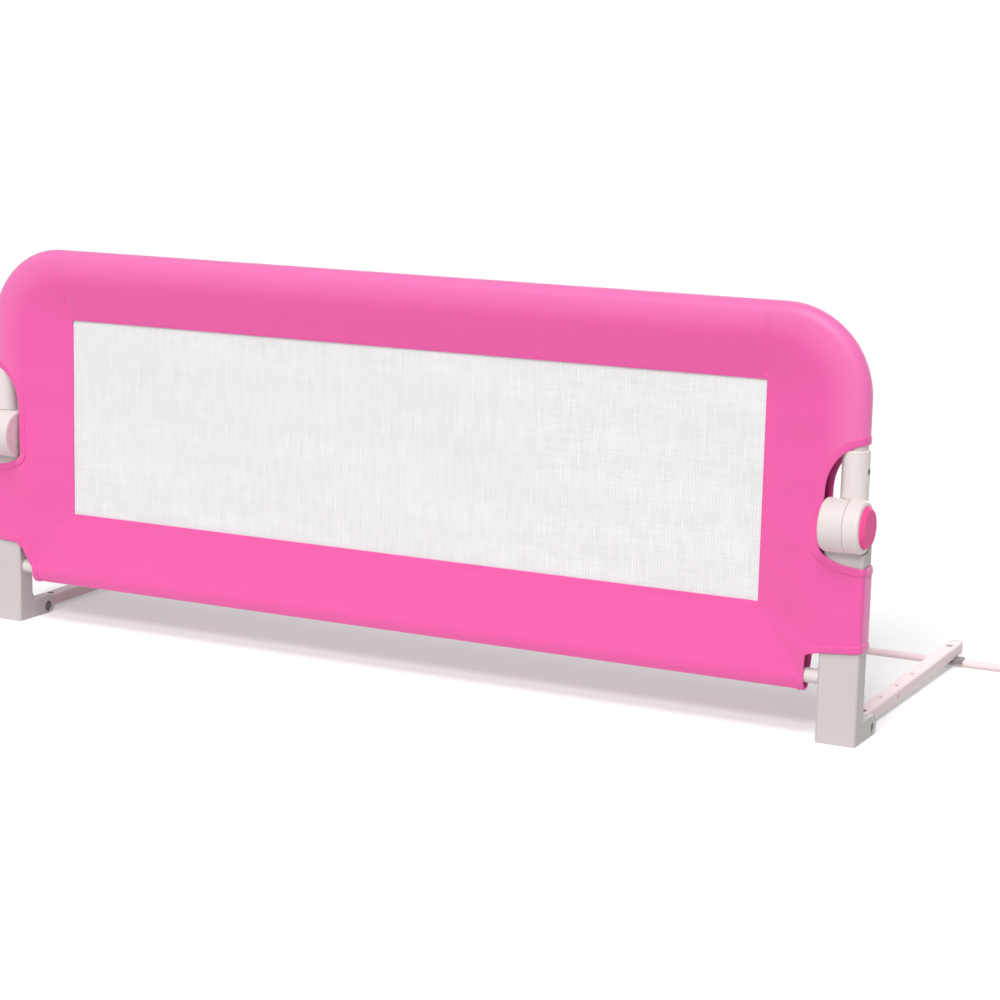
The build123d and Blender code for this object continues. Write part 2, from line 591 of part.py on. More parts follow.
# Crossbar rod, its end caps, its saddle and the screw that holds it
rod_screw_hole = SADDLE_SCREW_RADIUS + RUNNING_CLEARANCE
rod_left = LEG_X - ROD_LENGTH / 2
rod_right = LEG_X + ROD_LENGTH / 2
with BuildPart() as crossbar:
    bar_x(rod_left, rod_right, ROD_Y, ROD_Z, ROD_RADIUS)
    with BuildSketch(Plane.XY.offset(ROD_Z)):
        with Locations((LEG_X, ROD_Y)):
            Circle(rod_screw_hole)
    extrude(amount=ROD_RADIUS, both=True, mode=Mode.SUBTRACT)
keep_pair(lay_arm(crossbar.part), "crossbar")

with BuildPart() as rod_caps:
    for end, inward in ((rod_left, 1), (rod_right, -1)):
        outer = end - inward * ROD_CAP_END
        inner = outer + inward * ROD_CAP_LENGTH
        bar_x(min(outer, inner), max(outer, inner), ROD_Y, ROD_Z, ROD_CAP_RADIUS)
    tips = rod_caps.edges().filter_by(GeomType.CIRCLE).sort_by(Axis.X)
    fillet([tips[0], tips[-1]], ROD_CAP_END)
    bar_x(rod_left, rod_right, ROD_Y, ROD_Z, ROD_RADIUS + ROD_CAP_CLEARANCE, Mode.SUBTRACT)
keep_pair(lay_arm(rod_caps.part), "rod_caps")

with BuildPart() as rod_saddle:
    block(
        (LEG_X - SADDLE_LENGTH / 2, ROD_Y - SADDLE_WIDTH / 2, ROD_Z),
        (LEG_X + SADDLE_LENGTH / 2, ROD_Y + SADDLE_WIDTH / 2, ARM_BOTTOM),
    )
    fillet(rod_saddle.edges().filter_by(Axis.Z), 2 * SADDLE_EDGE)
    fillet(rod_saddle.faces().sort_by(Axis.Z)[-1].edges(), SADDLE_EDGE)
    groove = ROD_RADIUS + SADDLE_CLEARANCE
    bar_x(rod_left, rod_right, ROD_Y, ROD_Z, groove, Mode.SUBTRACT)
    with BuildSketch(Plane.XY.offset(ROD_Z)):
        with Locations((LEG_X, ROD_Y)):
            Circle(rod_screw_hole)
    extrude(amount=ROD_DROP, mode=Mode.SUBTRACT)
keep_pair(lay_arm(rod_saddle.part), "rod_saddle")

with BuildPart() as saddle_screw:
    with BuildSketch(Plane.XY.offset(ARM_FLOOR)):
        with Locations((LEG_X, ROD_Y)):
            Circle(SADDLE_HEAD_RADIUS)
    extrude(amount=SADDLE_HEAD_HEIGHT)
    fillet(saddle_screw.faces().sort_by(Axis.Z)[-1].edges(), SADDLE_HEAD_HEIGHT / 2)
    with BuildSketch(Plane.XY.offset(ROD_Z - ROD_RADIUS / 2)):
        with Locations((LEG_X, ROD_Y)):
            Circle(SADDLE_SCREW_RADIUS)
    extrude(amount=ARM_FLOOR - ROD_Z + ROD_RADIUS / 2)
keep_pair(lay_arm(saddle_screw.part), "saddle_screw")


# Cover: a fabric sleeve over the frame, cut at the hinge line into two halves
def window_pit(grow, near, far, spread):
    """Cut the sloping recess round the window from both faces of the open part.

    The recess is the window, grown by `grow`, at the depth `near` from the middle plane.
    It widens to the rectangle `spread` (half width, bottom, top) at the depth `far`.
    """
    half_width, bottom, top = spread
    small = (WINDOW_WIDTH / 2 + grow, WINDOW_BOTTOM - grow, WINDOW_TOP + grow)
    reach = (far + OVERCUT - near) / (far - near)
    large = [a + (b - a) * reach for a, b in zip(small, (half_width, bottom, top))]
    for side in (1, -1):
        sections = []
        for depth, (half, low, high) in ((near, small), (far + OVERCUT, large)):
            with BuildSketch(RAIL_PLANE.offset(side * depth)) as section:
                with Locations((0, (low + high) / 2)):
                    Rectangle(2 * half, high - low)
            sections.append(section.sketch.face())
        loft(sections, ruled=True, mode=Mode.SUBTRACT)


def hinge_cutouts():
    """Cut the two openings for the hinges out of the open part."""
    with BuildSketch(RAIL_PLANE) as opening:
        with BuildLine():
            Polyline(
                (LEG_OUTER + CUTOUT_ROUND, CUTOUT_TOP),
                (LEG_OUTER - CUTOUT_TOP_INSET, CUTOUT_TOP),
                (LEG_INNER - CUTOUT_CLEARANCE, HINGE_HEIGHT + BARREL_RADIUS + CUTOUT_KNEE_RISE),
                (LEG_INNER - CUTOUT_BOTTOM_CLEARANCE, CUTOUT_BOTTOM),
                (LEG_OUTER + CUTOUT_ROUND, CUTOUT_BOTTOM),
                close=True,
            )
        make_face()
        fillet(opening.vertices().sort_by(Axis.X)[:-2], CUTOUT_ROUND)
        mirror(about=Plane.YZ)
    extrude(opening.sketch, amount=LEG_DEPTH, both=True, mode=Mode.SUBTRACT)


def sleeve(radius, start):
    """Round sleeve along the rail tube's line, from the height `start`, in the open part."""
    with BuildLine(RAIL_PLANE) as line:
        FilletPolyline(
            (POST_X, start),
            (POST_X, TUBE_TOP),
            (-POST_X, TUBE_TOP),
            (-POST_X, start),
            radius=TUBE_BEND,
        )
    with BuildSketch(Plane.XY.offset(start)) as section:
        with Locations((POST_X, RAIL_Y)):
            Circle(radius)
    sweep(section.sketch, path=line.wire())


def rail_panel(half_depth, start):
    """Panel inside the rail tube's line, from the height `start`, in the open part."""
    with BuildSketch(RAIL_PLANE) as outline:
        with Locations((0, (start + TUBE_TOP) / 2)):
            Rectangle(2 * POST_X, TUBE_TOP - start)
        fillet(outline.vertices().group_by(Axis.Y)[-1], TUBE_BEND)
    extrude(outline.sketch, amount=half_depth, both=True)


upper_start = HINGE_HEIGHT + COVER_SPLIT_GAP
lower_end = HINGE_HEIGHT - COVER_SPLIT_GAP
window_half = WINDOW_WIDTH / 2
panel_half = SLEEVE_RADIUS - PANEL_STEP
panel_edge = POST_X - TUBE_RADIUS
panel_spread = (panel_edge, CROSS_TUBE_HEIGHT, TUBE_TOP)
hem_half = HEM_THICKNESS / 2

with BuildPart() as upper_hollow:
    rail_panel(panel_half - FABRIC, upper_start - OVERCUT)
    window_pit(WINDOW_HEM, hem_half - FABRIC, panel_half - FABRIC, panel_spread)
    sleeve(SLEEVE_RADIUS - FABRIC, upper_start - OVERCUT)

with BuildPart() as cover_upper:
    rail_panel(panel_half, upper_start)
    window_pit(0, hem_half, panel_half, panel_spread)
    sleeve(SLEEVE_RADIUS, upper_start)
    add(upper_hollow.part, mode=Mode.SUBTRACT)
    block(
        (-window_half, RAIL_Y - LEG_DEPTH, upper_start - OVERCUT),
        (window_half, RAIL_Y + LEG_DEPTH, WINDOW_TOP),
        Mode.SUBTRACT,
    )
    hinge_cutouts()
keep(cover_upper.part, "cover_upper")

wrap = FABRIC_GAP + FABRIC
wrap_half = LEG_DEPTH / 2 + wrap
wrap_x = LEG_OUTER + wrap
wrap_edge = LEG_INNER - wrap
cross_sleeve = CROSS_TUBE_RADIUS + wrap
fall = (cross_sleeve - hem_half) / (WINDOW_BOTTOM - CROSS_TUBE_HEIGHT)
wrap_bottom = WINDOW_BOTTOM - (wrap_half - hem_half) / fall
wrap_spread = (wrap_edge, wrap_bottom, COVER_TOP)

with BuildPart() as lower_hollow:
    with BuildSketch(Plane.XY.offset(CROSS_TUBE_HEIGHT)):
        with Locations((0, RAIL_Y)):
            RectangleRounded(2 * (wrap_x - FABRIC), 2 * (wrap_half - FABRIC), LEG_CORNER + FABRIC_GAP)
    extrude(amount=lower_end + OVERCUT - CROSS_TUBE_HEIGHT)
    window_pit(WINDOW_HEM, hem_half - FABRIC, wrap_half - FABRIC, wrap_spread)
    bar_x(-wrap_x, wrap_x, RAIL_Y, CROSS_TUBE_HEIGHT, cross_sleeve - FABRIC)

with BuildPart() as cover_lower:
    with BuildSketch(Plane.XY.offset(CROSS_TUBE_HEIGHT)):
        with Locations((0, RAIL_Y)):
            RectangleRounded(2 * wrap_x, 2 * wrap_half, LEG_CORNER + wrap)
    extrude(amount=lower_end - CROSS_TUBE_HEIGHT)
    window_pit(0, hem_half, wrap_half, wrap_spread)
    bar_x(-wrap_x, wrap_x, RAIL_Y, CROSS_TUBE_HEIGHT, cross_sleeve)
    add(lower_hollow.part, mode=Mode.SUBTRACT)
    block(
        (-window_half, RAIL_Y - LEG_DEPTH, WINDOW_BOTTOM),
        (window_half, RAIL_Y + LEG_DEPTH, lower_end + OVERCUT),
        Mode.SUBTRACT,
    )
    hinge_cutouts()
    for side in (1, -1):
        notch_edges = sorted((side * (LEG_OUTER - NOTCH_INSET), side * (wrap_x + OVERCUT)))
        block(
            (notch_edges[0], RAIL_Y - LEG_DEPTH, 0),
            (notch_edges[1], RAIL_Y + LEG_DEPTH, NOTCH_TOP),
            Mode.SUBTRACT,
        )
    with BuildSketch(Plane.YZ.offset(-wrap_x)) as fold_room:
        with BuildLine():
            Polyline(
                (HINGE_Y, HINGE_HEIGHT),
                (HINGE_Y - LEG_DEPTH, HINGE_HEIGHT),
                (HINGE_Y - LEG_DEPTH, HINGE_HEIGHT - LEG_DEPTH / FOLD_RELIEF),
                close=True,
            )
        make_face()
    extrude(amount=2 * wrap_x, mode=Mode.SUBTRACT)
keep(cover_lower.part, "cover_lower")

# Window mesh in two halves, inside the window's hem
mesh_half = MESH_THICKNESS / 2
mesh_x = window_half - MESH_CLEARANCE
with BuildPart() as window_mesh_upper:
    block(
        (-mesh_x, RAIL_Y - mesh_half, upper_start),
        (mesh_x, RAIL_Y + mesh_half, WINDOW_TOP - MESH_CLEARANCE),
    )
keep(window_mesh_upper.part, "window_mesh_upper")

with BuildPart() as window_mesh_lower:
    block(
        (-mesh_x, RAIL_Y - mesh_half, WINDOW_BOTTOM + MESH_CLEARANCE),
        (mesh_x, RAIL_Y + mesh_half, lower_end),
    )
keep(window_mesh_lower.part, "window_mesh_lower")
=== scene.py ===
"""Dressed model of a fold-down bed rail, built round its packed construction frame.

X runs along the rail, +Y points under the mattress and +Z is up. All sizes are in metres.
"""
import json
import logging
import math
from dataclasses import dataclass, field
from enum import Enum

import bpy
import numpy as np
from mathutils import Matrix, Vector

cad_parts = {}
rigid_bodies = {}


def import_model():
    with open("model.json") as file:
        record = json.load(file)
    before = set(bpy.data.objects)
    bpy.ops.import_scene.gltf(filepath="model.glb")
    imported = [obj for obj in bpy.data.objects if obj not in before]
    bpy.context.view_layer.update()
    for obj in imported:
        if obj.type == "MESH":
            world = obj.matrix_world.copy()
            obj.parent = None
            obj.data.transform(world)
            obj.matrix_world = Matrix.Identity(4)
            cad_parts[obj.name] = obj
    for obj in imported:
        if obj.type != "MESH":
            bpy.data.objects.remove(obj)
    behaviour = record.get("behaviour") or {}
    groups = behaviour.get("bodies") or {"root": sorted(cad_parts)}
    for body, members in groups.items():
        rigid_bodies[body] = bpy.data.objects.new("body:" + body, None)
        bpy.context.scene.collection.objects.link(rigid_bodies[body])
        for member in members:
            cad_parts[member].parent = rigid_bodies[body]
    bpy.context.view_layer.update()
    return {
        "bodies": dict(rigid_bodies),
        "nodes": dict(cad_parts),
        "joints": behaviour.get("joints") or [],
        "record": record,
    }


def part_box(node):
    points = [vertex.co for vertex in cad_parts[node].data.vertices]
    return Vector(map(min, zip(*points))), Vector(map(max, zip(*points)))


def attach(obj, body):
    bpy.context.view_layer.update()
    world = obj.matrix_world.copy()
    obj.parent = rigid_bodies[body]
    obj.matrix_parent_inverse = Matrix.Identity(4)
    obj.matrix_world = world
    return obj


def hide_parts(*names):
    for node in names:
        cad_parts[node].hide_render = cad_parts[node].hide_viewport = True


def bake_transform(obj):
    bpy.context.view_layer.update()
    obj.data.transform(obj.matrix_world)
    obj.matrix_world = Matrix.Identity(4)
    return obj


LOG = logging.getLogger("bed_rail")
CLOTH_MAP = "flat_cloth"
# Point attribute that holds the share of painted highlight on the cloth over the upper tube.
HIGHLIGHT_ATTRIBUTE = "over_tube"
WELD_STEP = 1e-6

# Places and sizes of the frame that the soft pieces and the finishes follow
RAIL_Y = -0.173304
HINGE_FORWARD = 0.010
HINGE_Y = RAIL_Y - HINGE_FORWARD
HINGE_Z = 0.210
BARREL_RADIUS = 0.0253
LEG_X = 0.4855


class Side(Enum):
    """End of the rail, as the sign of its X."""

    RIGHT = 1
    LEFT = -1


class Layer(Enum):
    """Face of the cover, as the sign of its Y."""

    FRONT = -1
    BACK = 1


class Cloth(Enum):
    """How the yarns of a cloth lie."""

    CLOSED = "closed"
    OPEN_NET = "open_net"


def linear(hex_colour: str) -> tuple[float, float, float, float]:
    """Turn a written colour into linear light.

    Args:
        hex_colour: Six hexadecimal digits.

    Returns:
        Red, green, blue and an alpha of one.
    """
    share = np.array([int(hex_colour[i:i + 2], 16) for i in (0, 2, 4)]) / 255
    light = np.where(share <= 0.04045, share / 12.92, ((share + 0.055) / 1.055) ** 2.4)
    return (*light.tolist(), 1.0)


def smooth_step(value: np.ndarray) -> np.ndarray:
    """Rise from zero to one with level ends, for values from zero to one."""
    held = np.clip(value, 0, 1)
    return held * held * (3 - 2 * held)


def bell(value: np.ndarray, middle: float, width: float) -> np.ndarray:
    """Bell curve: one at its middle, and the fall of a squared exponential over its width."""
    return np.exp(-(((value - middle) / width) ** 2))


def unit(rows: np.ndarray) -> np.ndarray:
    """Scale each row to a length of one."""
    return rows / np.linalg.norm(rows, axis=1, keepdims=True)


def line_length(points: np.ndarray) -> float:
    """Length of an open line of points."""
    return float(np.linalg.norm(np.diff(points, axis=0), axis=1).sum())


def ring_directions(points: np.ndarray) -> np.ndarray:
    """Directions along a closed line, each from the point before to the point after."""
    return unit(np.roll(points, -1, 0) - np.roll(points, 1, 0))


def soften(values: np.ndarray, times: int) -> np.ndarray:
    """Soften values along a closed line: each becomes half of itself and a quarter of each neighbour.

    Args:
        values: Values of the line's points, one row each.
        times: How often they are softened.

    Returns:
        The softened values.
    """
    for _ in range(times):
        values = (np.roll(values, 1, 0) + 2 * values + np.roll(values, -1, 0)) / 4
    return values


def run(start: tuple, end: tuple, count: int, ease: float = 1.0) -> np.ndarray:
    """Points on a straight run, without its end.

    Args:
        start: First point.
        end: Point that the run leads to.
        count: Number of points.
        ease: Power that crowds the points towards the end.

    Returns:
        The points, one row each.
    """
    share = (1 - (1 - np.arange(count) / count) ** ease)[:, None]
    return np.asarray(start) * (1 - share) + np.asarray(end) * share


def arc(centre: tuple, reach: tuple, turn: np.ndarray) -> np.ndarray:
    """Points on an ellipse in the plane of the rail.

    Args:
        centre: Its X and height.
        reach: Its half width and half height, negative where the arc starts from the other side.
        turn: Angles of the points.

    Returns:
        The points (x, 0, z), one row each.
    """
    along, up = reach[0] * np.cos(turn), reach[1] * np.sin(turn)
    return np.column_stack([centre[0] + along, 0 * turn, centre[1] + up])


def spread_evenly(points: np.ndarray, count: int, closed: bool = False) -> np.ndarray:
    """Take points at equal distances along a line.

    Args:
        points: Rows of the line, whose first three columns are its place.
        count: Number of points wanted.
        closed: Whether the line runs back to its start.

    Returns:
        The rows at those distances, all columns interpolated.
    """
    line = np.vstack([points, points[:1]]) if closed else points
    step = np.linalg.norm(np.diff(line[:, :3], axis=0), axis=1)
    along = np.concatenate([[0], np.cumsum(step)])
    wanted = np.linspace(0, along[-1], count, endpoint=not closed)
    return np.column_stack([np.interp(wanted, along, column) for column in line.T])


def grid_quads(
    rows: int, columns: int, close_rows: bool = False, close_columns: bool = False
) -> np.ndarray:
    """Corner numbers of the quads of a grid of points.

    Args:
        rows: Number of rows of points.
        columns: Number of points in a row.
        close_rows: Whether the last row joins the first.
        close_columns: Whether the last column joins the first.

    Returns:
        One row of four point numbers for each quad.
    """
    row = np.arange(rows if close_rows else rows - 1)[:, None]
    column = np.arange(columns if close_columns else columns - 1)[None, :]
    next_row, next_column = (row + 1) % rows, (column + 1) % columns
    corners = (
        row * columns + column,
        next_row * columns + column,
        next_row * columns + next_column,
        row * columns + next_column,
    )
    grid = (row.size, column.size)
    return np.stack([np.broadcast_to(corner, grid) for corner in corners], axis=-1).reshape(-1, 4)


def add_object(name: str, data: bpy.types.ID) -> bpy.types.Object:
    """Put a mesh, a lamp or a camera into the scene, at the origin.

    Args:
        name: Name of the object.
        data: What it shows.

    Returns:
        The new object.
    """
    made = bpy.data.objects.new(name, data)
    bpy.context.scene.collection.objects.link(made)
    return made


def make_object(
    name: str,
    points: np.ndarray,
    faces: np.ndarray | list,
    flat: np.ndarray | None = None,
    smooth: bool = True,
) -> bpy.types.Object:
    """Put a worked-out surface into a new object at the origin.

    Args:
        name: Name of the piece.
        points: Places of its points.
        faces: Point numbers of its faces, as a list where their corner counts differ.
        flat: Place of each face corner on the flat cloth, for its UV map.
        smooth: Whether its faces are shaded smooth.

    Returns:
        The new object.
    """
    mesh = bpy.data.meshes.new(name)
    corners = faces if isinstance(faces, list) else faces.tolist()
    mesh.from_pydata(points.tolist(), [], corners, shade_flat=not smooth)
    if flat is not None:
        layer = mesh.uv_layers.new(name=CLOTH_MAP)
        layer.data.foreach_set("uv", np.ascontiguousarray(flat, dtype=np.float32).ravel())
    mesh.update()
    return add_object(name, mesh)


def thicken(piece: bpy.types.Object, thickness: float, offset: float) -> None:
    """Give a sheet its thickness.

    Args:
        piece: The sheet.
        thickness: Thickness of the cloth.
        offset: -1 to grow inwards only, 0 to grow both ways.
    """
    wall = piece.modifiers.new("thickness", "SOLIDIFY")
    wall.thickness = thickness
    wall.offset = offset
    wall.use_even_offset = True


class Graph:
    """Short way to add nodes to one node tree."""

    def __init__(self, tree: bpy.types.NodeTree) -> None:
        """Keep the tree that nodes are added to."""
        self.tree = tree

    def node(self, kind: str, **values: object) -> bpy.types.Node:
        """Add a node and set its properties.

        Args:
            kind: Blender's name for the node.
            **values: Properties of the node.

        Returns:
            The node.
        """
        made = self.tree.nodes.new(kind)
        for name, value in values.items():
            setattr(made, name, value)
        return made

    def feed(self, socket: bpy.types.NodeSocket, value: object) -> None:
        """Link a socket, or set its value where a plain value is given.

        Args:
            socket: Socket of a node.
            value: Socket that feeds it, or a plain value.
        """
        if isinstance(value, bpy.types.NodeSocket):
            self.tree.links.new(value, socket)
        else:
            socket.default_value = value

    def math(self, operation: str, *terms: object) -> bpy.types.NodeSocket:
        """Add a sum of one or more terms.

        Args:
            operation: Blender's name for the operation.
            *terms: Sockets or numbers.

        Returns:
            The result.
        """
        made = self.node("ShaderNodeMath", operation=operation)
        for socket, term in zip(made.inputs, terms):
            self.feed(socket, term)
        return made.outputs[0]

    def mix(
        self, share: object, first: object, second: object, blend: str = "MIX"
    ) -> bpy.types.NodeSocket:
        """Mix two colours.

        Args:
            share: Share of the second colour, as a socket or a number.
            first: First colour, as a socket or a plain colour.
            second: Second colour, as a socket or a plain colour.
            blend: Blender's name for the way of mixing.

        Returns:
            The mixed colour.
        """
        made = self.node("ShaderNodeMix", data_type="RGBA", blend_type=blend)
        self.feed(made.inputs["Factor"], share)
        self.feed(made.inputs["A"], first)
        self.feed(made.inputs["B"], second)
        return made.outputs["Result"]

    def tint(self, colour: object, shade: bpy.types.NodeSocket) -> bpy.types.NodeSocket:
        """Multiply a colour by a shade that changes over the surface."""
        return self.mix(1.0, colour, shade, "MULTIPLY")

    def bump(
        self, height: bpy.types.NodeSocket, strength: float, distance: float
    ) -> bpy.types.NodeSocket:
        """Add a bump.

        Args:
            height: Height from zero to one.
            strength: Share of the bump that shows.
            distance: Depth of a height of one.

        Returns:
            The bent normal.
        """
        made = self.node("ShaderNodeBump")
        self.feed(made.inputs["Strength"], strength)
        self.feed(made.inputs["Distance"], distance)
        self.feed(made.inputs["Height"], height)
        return made.outputs["Normal"]


def start_material(name: str) -> tuple[bpy.types.Material, Graph, bpy.types.Node]:
    """Start a material.

    Args:
        name: Name of the material.

    Returns:
        The material, its graph and its shader node.
    """
    made = bpy.data.materials.new(name)
    made.use_nodes = True
    return made, Graph(made.node_tree), made.node_tree.nodes["Principled BSDF"]


def start_group(
    name: str, inputs: tuple, outputs: tuple
) -> tuple[Graph, bpy.types.Node, bpy.types.Node]:
    """Start a shader node group with named sockets.

    Args:
        name: Name of the group.
        inputs: Pairs of socket name and socket type.
        outputs: Names of the outputs, all plain numbers.

    Returns:
        The graph, its input node and its output node.
    """
    tree = bpy.data.node_groups.new(name, "ShaderNodeTree")
    for label, kind in inputs:
        tree.interface.new_socket(label, in_out="INPUT", socket_type=kind)
    for label in outputs:
        tree.interface.new_socket(label, in_out="OUTPUT", socket_type="NodeSocketFloat")
    graph = Graph(tree)
    return graph, graph.node("NodeGroupInput"), graph.node("NodeGroupOutput")


def grain_group() -> bpy.types.NodeTree:
    """Build the group for moulded, coated and plated surfaces.

    Height is a fine noise. Shade is one, plus a slow noise times Contrast. Soil is a broken
    mask, which is high in a few small places.

    Returns:
        The node group.
    """
    number = "NodeSocketFloat"
    slow_scale = 26.0
    soil_starts, soil_full = 0.55, 0.75
    graph, given, made = start_group(
        "surface_grain",
        (("Vector", "NodeSocketVector"), ("Scale", number), ("Contrast", number)),
        ("Shade", "Height", "Soil"),
    )
    fine = graph.node("ShaderNodeTexNoise")
    slow = graph.node("ShaderNodeTexNoise")
    for noise, scale in ((fine, given.outputs["Scale"]), (slow, slow_scale)):
        graph.feed(noise.inputs["Vector"], given.outputs["Vector"])
        graph.feed(noise.inputs["Scale"], scale)
        graph.feed(noise.inputs["Detail"], 3.0)
    centred = graph.math("SUBTRACT", slow.outputs["Fac"], 0.5)
    shade = graph.math("MULTIPLY_ADD", centred, given.outputs["Contrast"], 1.0)
    soil = graph.node("ShaderNodeMapRange", interpolation_type="SMOOTHSTEP")
    graph.feed(soil.inputs["Value"], slow.outputs["Fac"])
    graph.feed(soil.inputs["From Min"], soil_starts)
    graph.feed(soil.inputs["From Max"], soil_full)
    graph.feed(made.inputs["Shade"], shade)
    graph.feed(made.inputs["Height"], fine.outputs["Fac"])
    graph.feed(made.inputs["Soil"], soil.outputs["Result"])
    return graph.tree


def yarn_group() -> bpy.types.NodeTree:
    """Build the group for woven cloth.

    The flat place divided by the pitches gives the yarn numbers and the place across each yarn. A
    yarn's height is a half round over its Width. At each crossing one yarn lies over the other, in
    turn. Covered is one on a yarn and zero in a hole. Shade changes from yarn to yarn, and slowly
    along each.

    Returns:
        The node group.
    """
    number = "NodeSocketFloat"
    lower_yarn, yarn_step, streaks_per_metre = 0.4, 1.73, 32.0
    graph, given, made = start_group(
        "yarns",
        (
            ("Vector", "NodeSocketVector"), ("Warp Pitch", number), ("Weft Pitch", number),
            ("Width", number), ("Contrast", number),
        ),
        ("Shade", "Height", "Covered"),
    )
    place = graph.node("ShaderNodeSeparateXYZ")
    graph.feed(place.inputs[0], given.outputs["Vector"])
    rounds, counts, cover = [], [], []
    for axis, pitch in (("X", "Warp Pitch"), ("Y", "Weft Pitch")):
        yarn = graph.math("DIVIDE", place.outputs[axis], given.outputs[pitch])
        counts.append(graph.math("FLOOR", yarn))
        across = graph.math("ABSOLUTE", graph.math("SUBTRACT", graph.math("FRACT", yarn), 0.5))
        share = graph.math("DIVIDE", graph.math("MULTIPLY", across, 2.0), given.outputs["Width"])
        inside = graph.math("SUBTRACT", 1.0, graph.math("MULTIPLY", share, share))
        rounds.append(graph.math("SQRT", graph.math("MAXIMUM", inside, 0.0)))
        cover.append(graph.math("LESS_THAN", share, 1.0))
    turn = graph.math("PINGPONG", graph.math("ADD", *counts), 1.0)
    over = graph.math("MULTIPLY", rounds[0], turn)
    under = graph.math("MULTIPLY", rounds[1], graph.math("SUBTRACT", 1.0, turn))
    low = graph.math("MULTIPLY", graph.math("MAXIMUM", *rounds), lower_yarn)
    height = graph.math("MAXIMUM", graph.math("ADD", over, under), low)
    streaks = []
    for count, axis in zip(counts, "YX"):
        stripes = graph.node("ShaderNodeTexNoise", noise_dimensions="2D")
        strand = graph.node("ShaderNodeCombineXYZ")
        graph.feed(strand.inputs["X"], graph.math("MULTIPLY", count, yarn_step))
        along = graph.math("MULTIPLY", place.outputs[axis], streaks_per_metre)
        graph.feed(strand.inputs["Y"], along)
        graph.feed(stripes.inputs["Vector"], strand.outputs["Vector"])
        graph.feed(stripes.inputs["Scale"], 1.0)
        streaks.append(stripes.outputs["Fac"])
    centred = graph.math("SUBTRACT", graph.math("ADD", *streaks), 1.0)
    shade = graph.math("MULTIPLY_ADD", centred, given.outputs["Contrast"], 1.0)
    graph.feed(made.inputs["Shade"], shade)
    graph.feed(made.inputs["Height"], height)
    graph.feed(made.inputs["Covered"], graph.math("MAXIMUM", *cover))
    return graph.tree


@dataclass(frozen=True)
class Finish:
    """Surface of a rigid piece: moulded plastic, powder coat or plated steel."""

    name: str
    slot: str
    colour: str
    roughness: float
    grain_scale: float = 900.0
    grain_depth: float = 0.00004
    contrast: float = 0.08
    metallic: float = 0.0
    coat: float = 0.0
    specular: float = 0.5
    soil_roughness: float = 0.12
    bump_strength: float = 0.35
    # Paler colour painted over the hinge barrel as the light that it catches; empty for none.
    barrel_light_colour: str = ""

    def within_barrel(self, graph: Graph, place: bpy.types.NodeSocket) -> bpy.types.NodeSocket:
        """Mask of the hinge barrel, where a paler colour is painted as the light that it catches: one where
        the distance from its axis is below its radius.

        Args:
            graph: The material's graph.
            place: Object coordinates.

        Returns:
            One in the barrel and zero outside it.
        """
        axes = graph.node("ShaderNodeSeparateXYZ")
        graph.feed(axes.inputs[0], place)
        squares = []
        for axis, middle in (("Y", HINGE_Y), ("Z", HINGE_Z)):
            off = graph.math("SUBTRACT", axes.outputs[axis], middle)
            squares.append(graph.math("MULTIPLY", off, off))
        reach = graph.math("SQRT", graph.math("ADD", *squares))
        just_outside = 0.0003
        return graph.math("LESS_THAN", reach, BARREL_RADIUS + just_outside)

    def material(self, groups: dict[str, bpy.types.NodeTree]) -> bpy.types.Material:
        """Build the material.

        Args:
            groups: The shared node groups by name.

        Returns:
            The material.
        """
        made, graph, shader = start_material(self.name)
        place = graph.node("ShaderNodeTexCoord")
        grain = graph.node("ShaderNodeGroup", node_tree=groups["grain"])
        graph.feed(grain.inputs["Vector"], place.outputs["Object"])
        graph.feed(grain.inputs["Scale"], self.grain_scale)
        graph.feed(grain.inputs["Contrast"], self.contrast)
        colour = linear(self.colour)
        # Paler colour over the leg's hinge barrel: painted light, where the rounded barrel catches it.
        if self.barrel_light_colour:
            barrel = self.within_barrel(graph, place.outputs["Object"])
            colour = graph.mix(barrel, colour, linear(self.barrel_light_colour))
        graph.feed(shader.inputs["Base Color"], graph.tint(colour, grain.outputs["Shade"]))
        worn = graph.math("MULTIPLY_ADD", grain.outputs["Soil"], self.soil_roughness, self.roughness)
        graph.feed(shader.inputs["Roughness"], worn)
        shader.inputs["Metallic"].default_value = self.metallic
        shader.inputs["Coat Weight"].default_value = self.coat
        shader.inputs["Specular IOR Level"].default_value = self.specular
        raised = graph.bump(grain.outputs["Height"], self.bump_strength, self.grain_depth)
        graph.feed(shader.inputs["Normal"], raised)
        return made


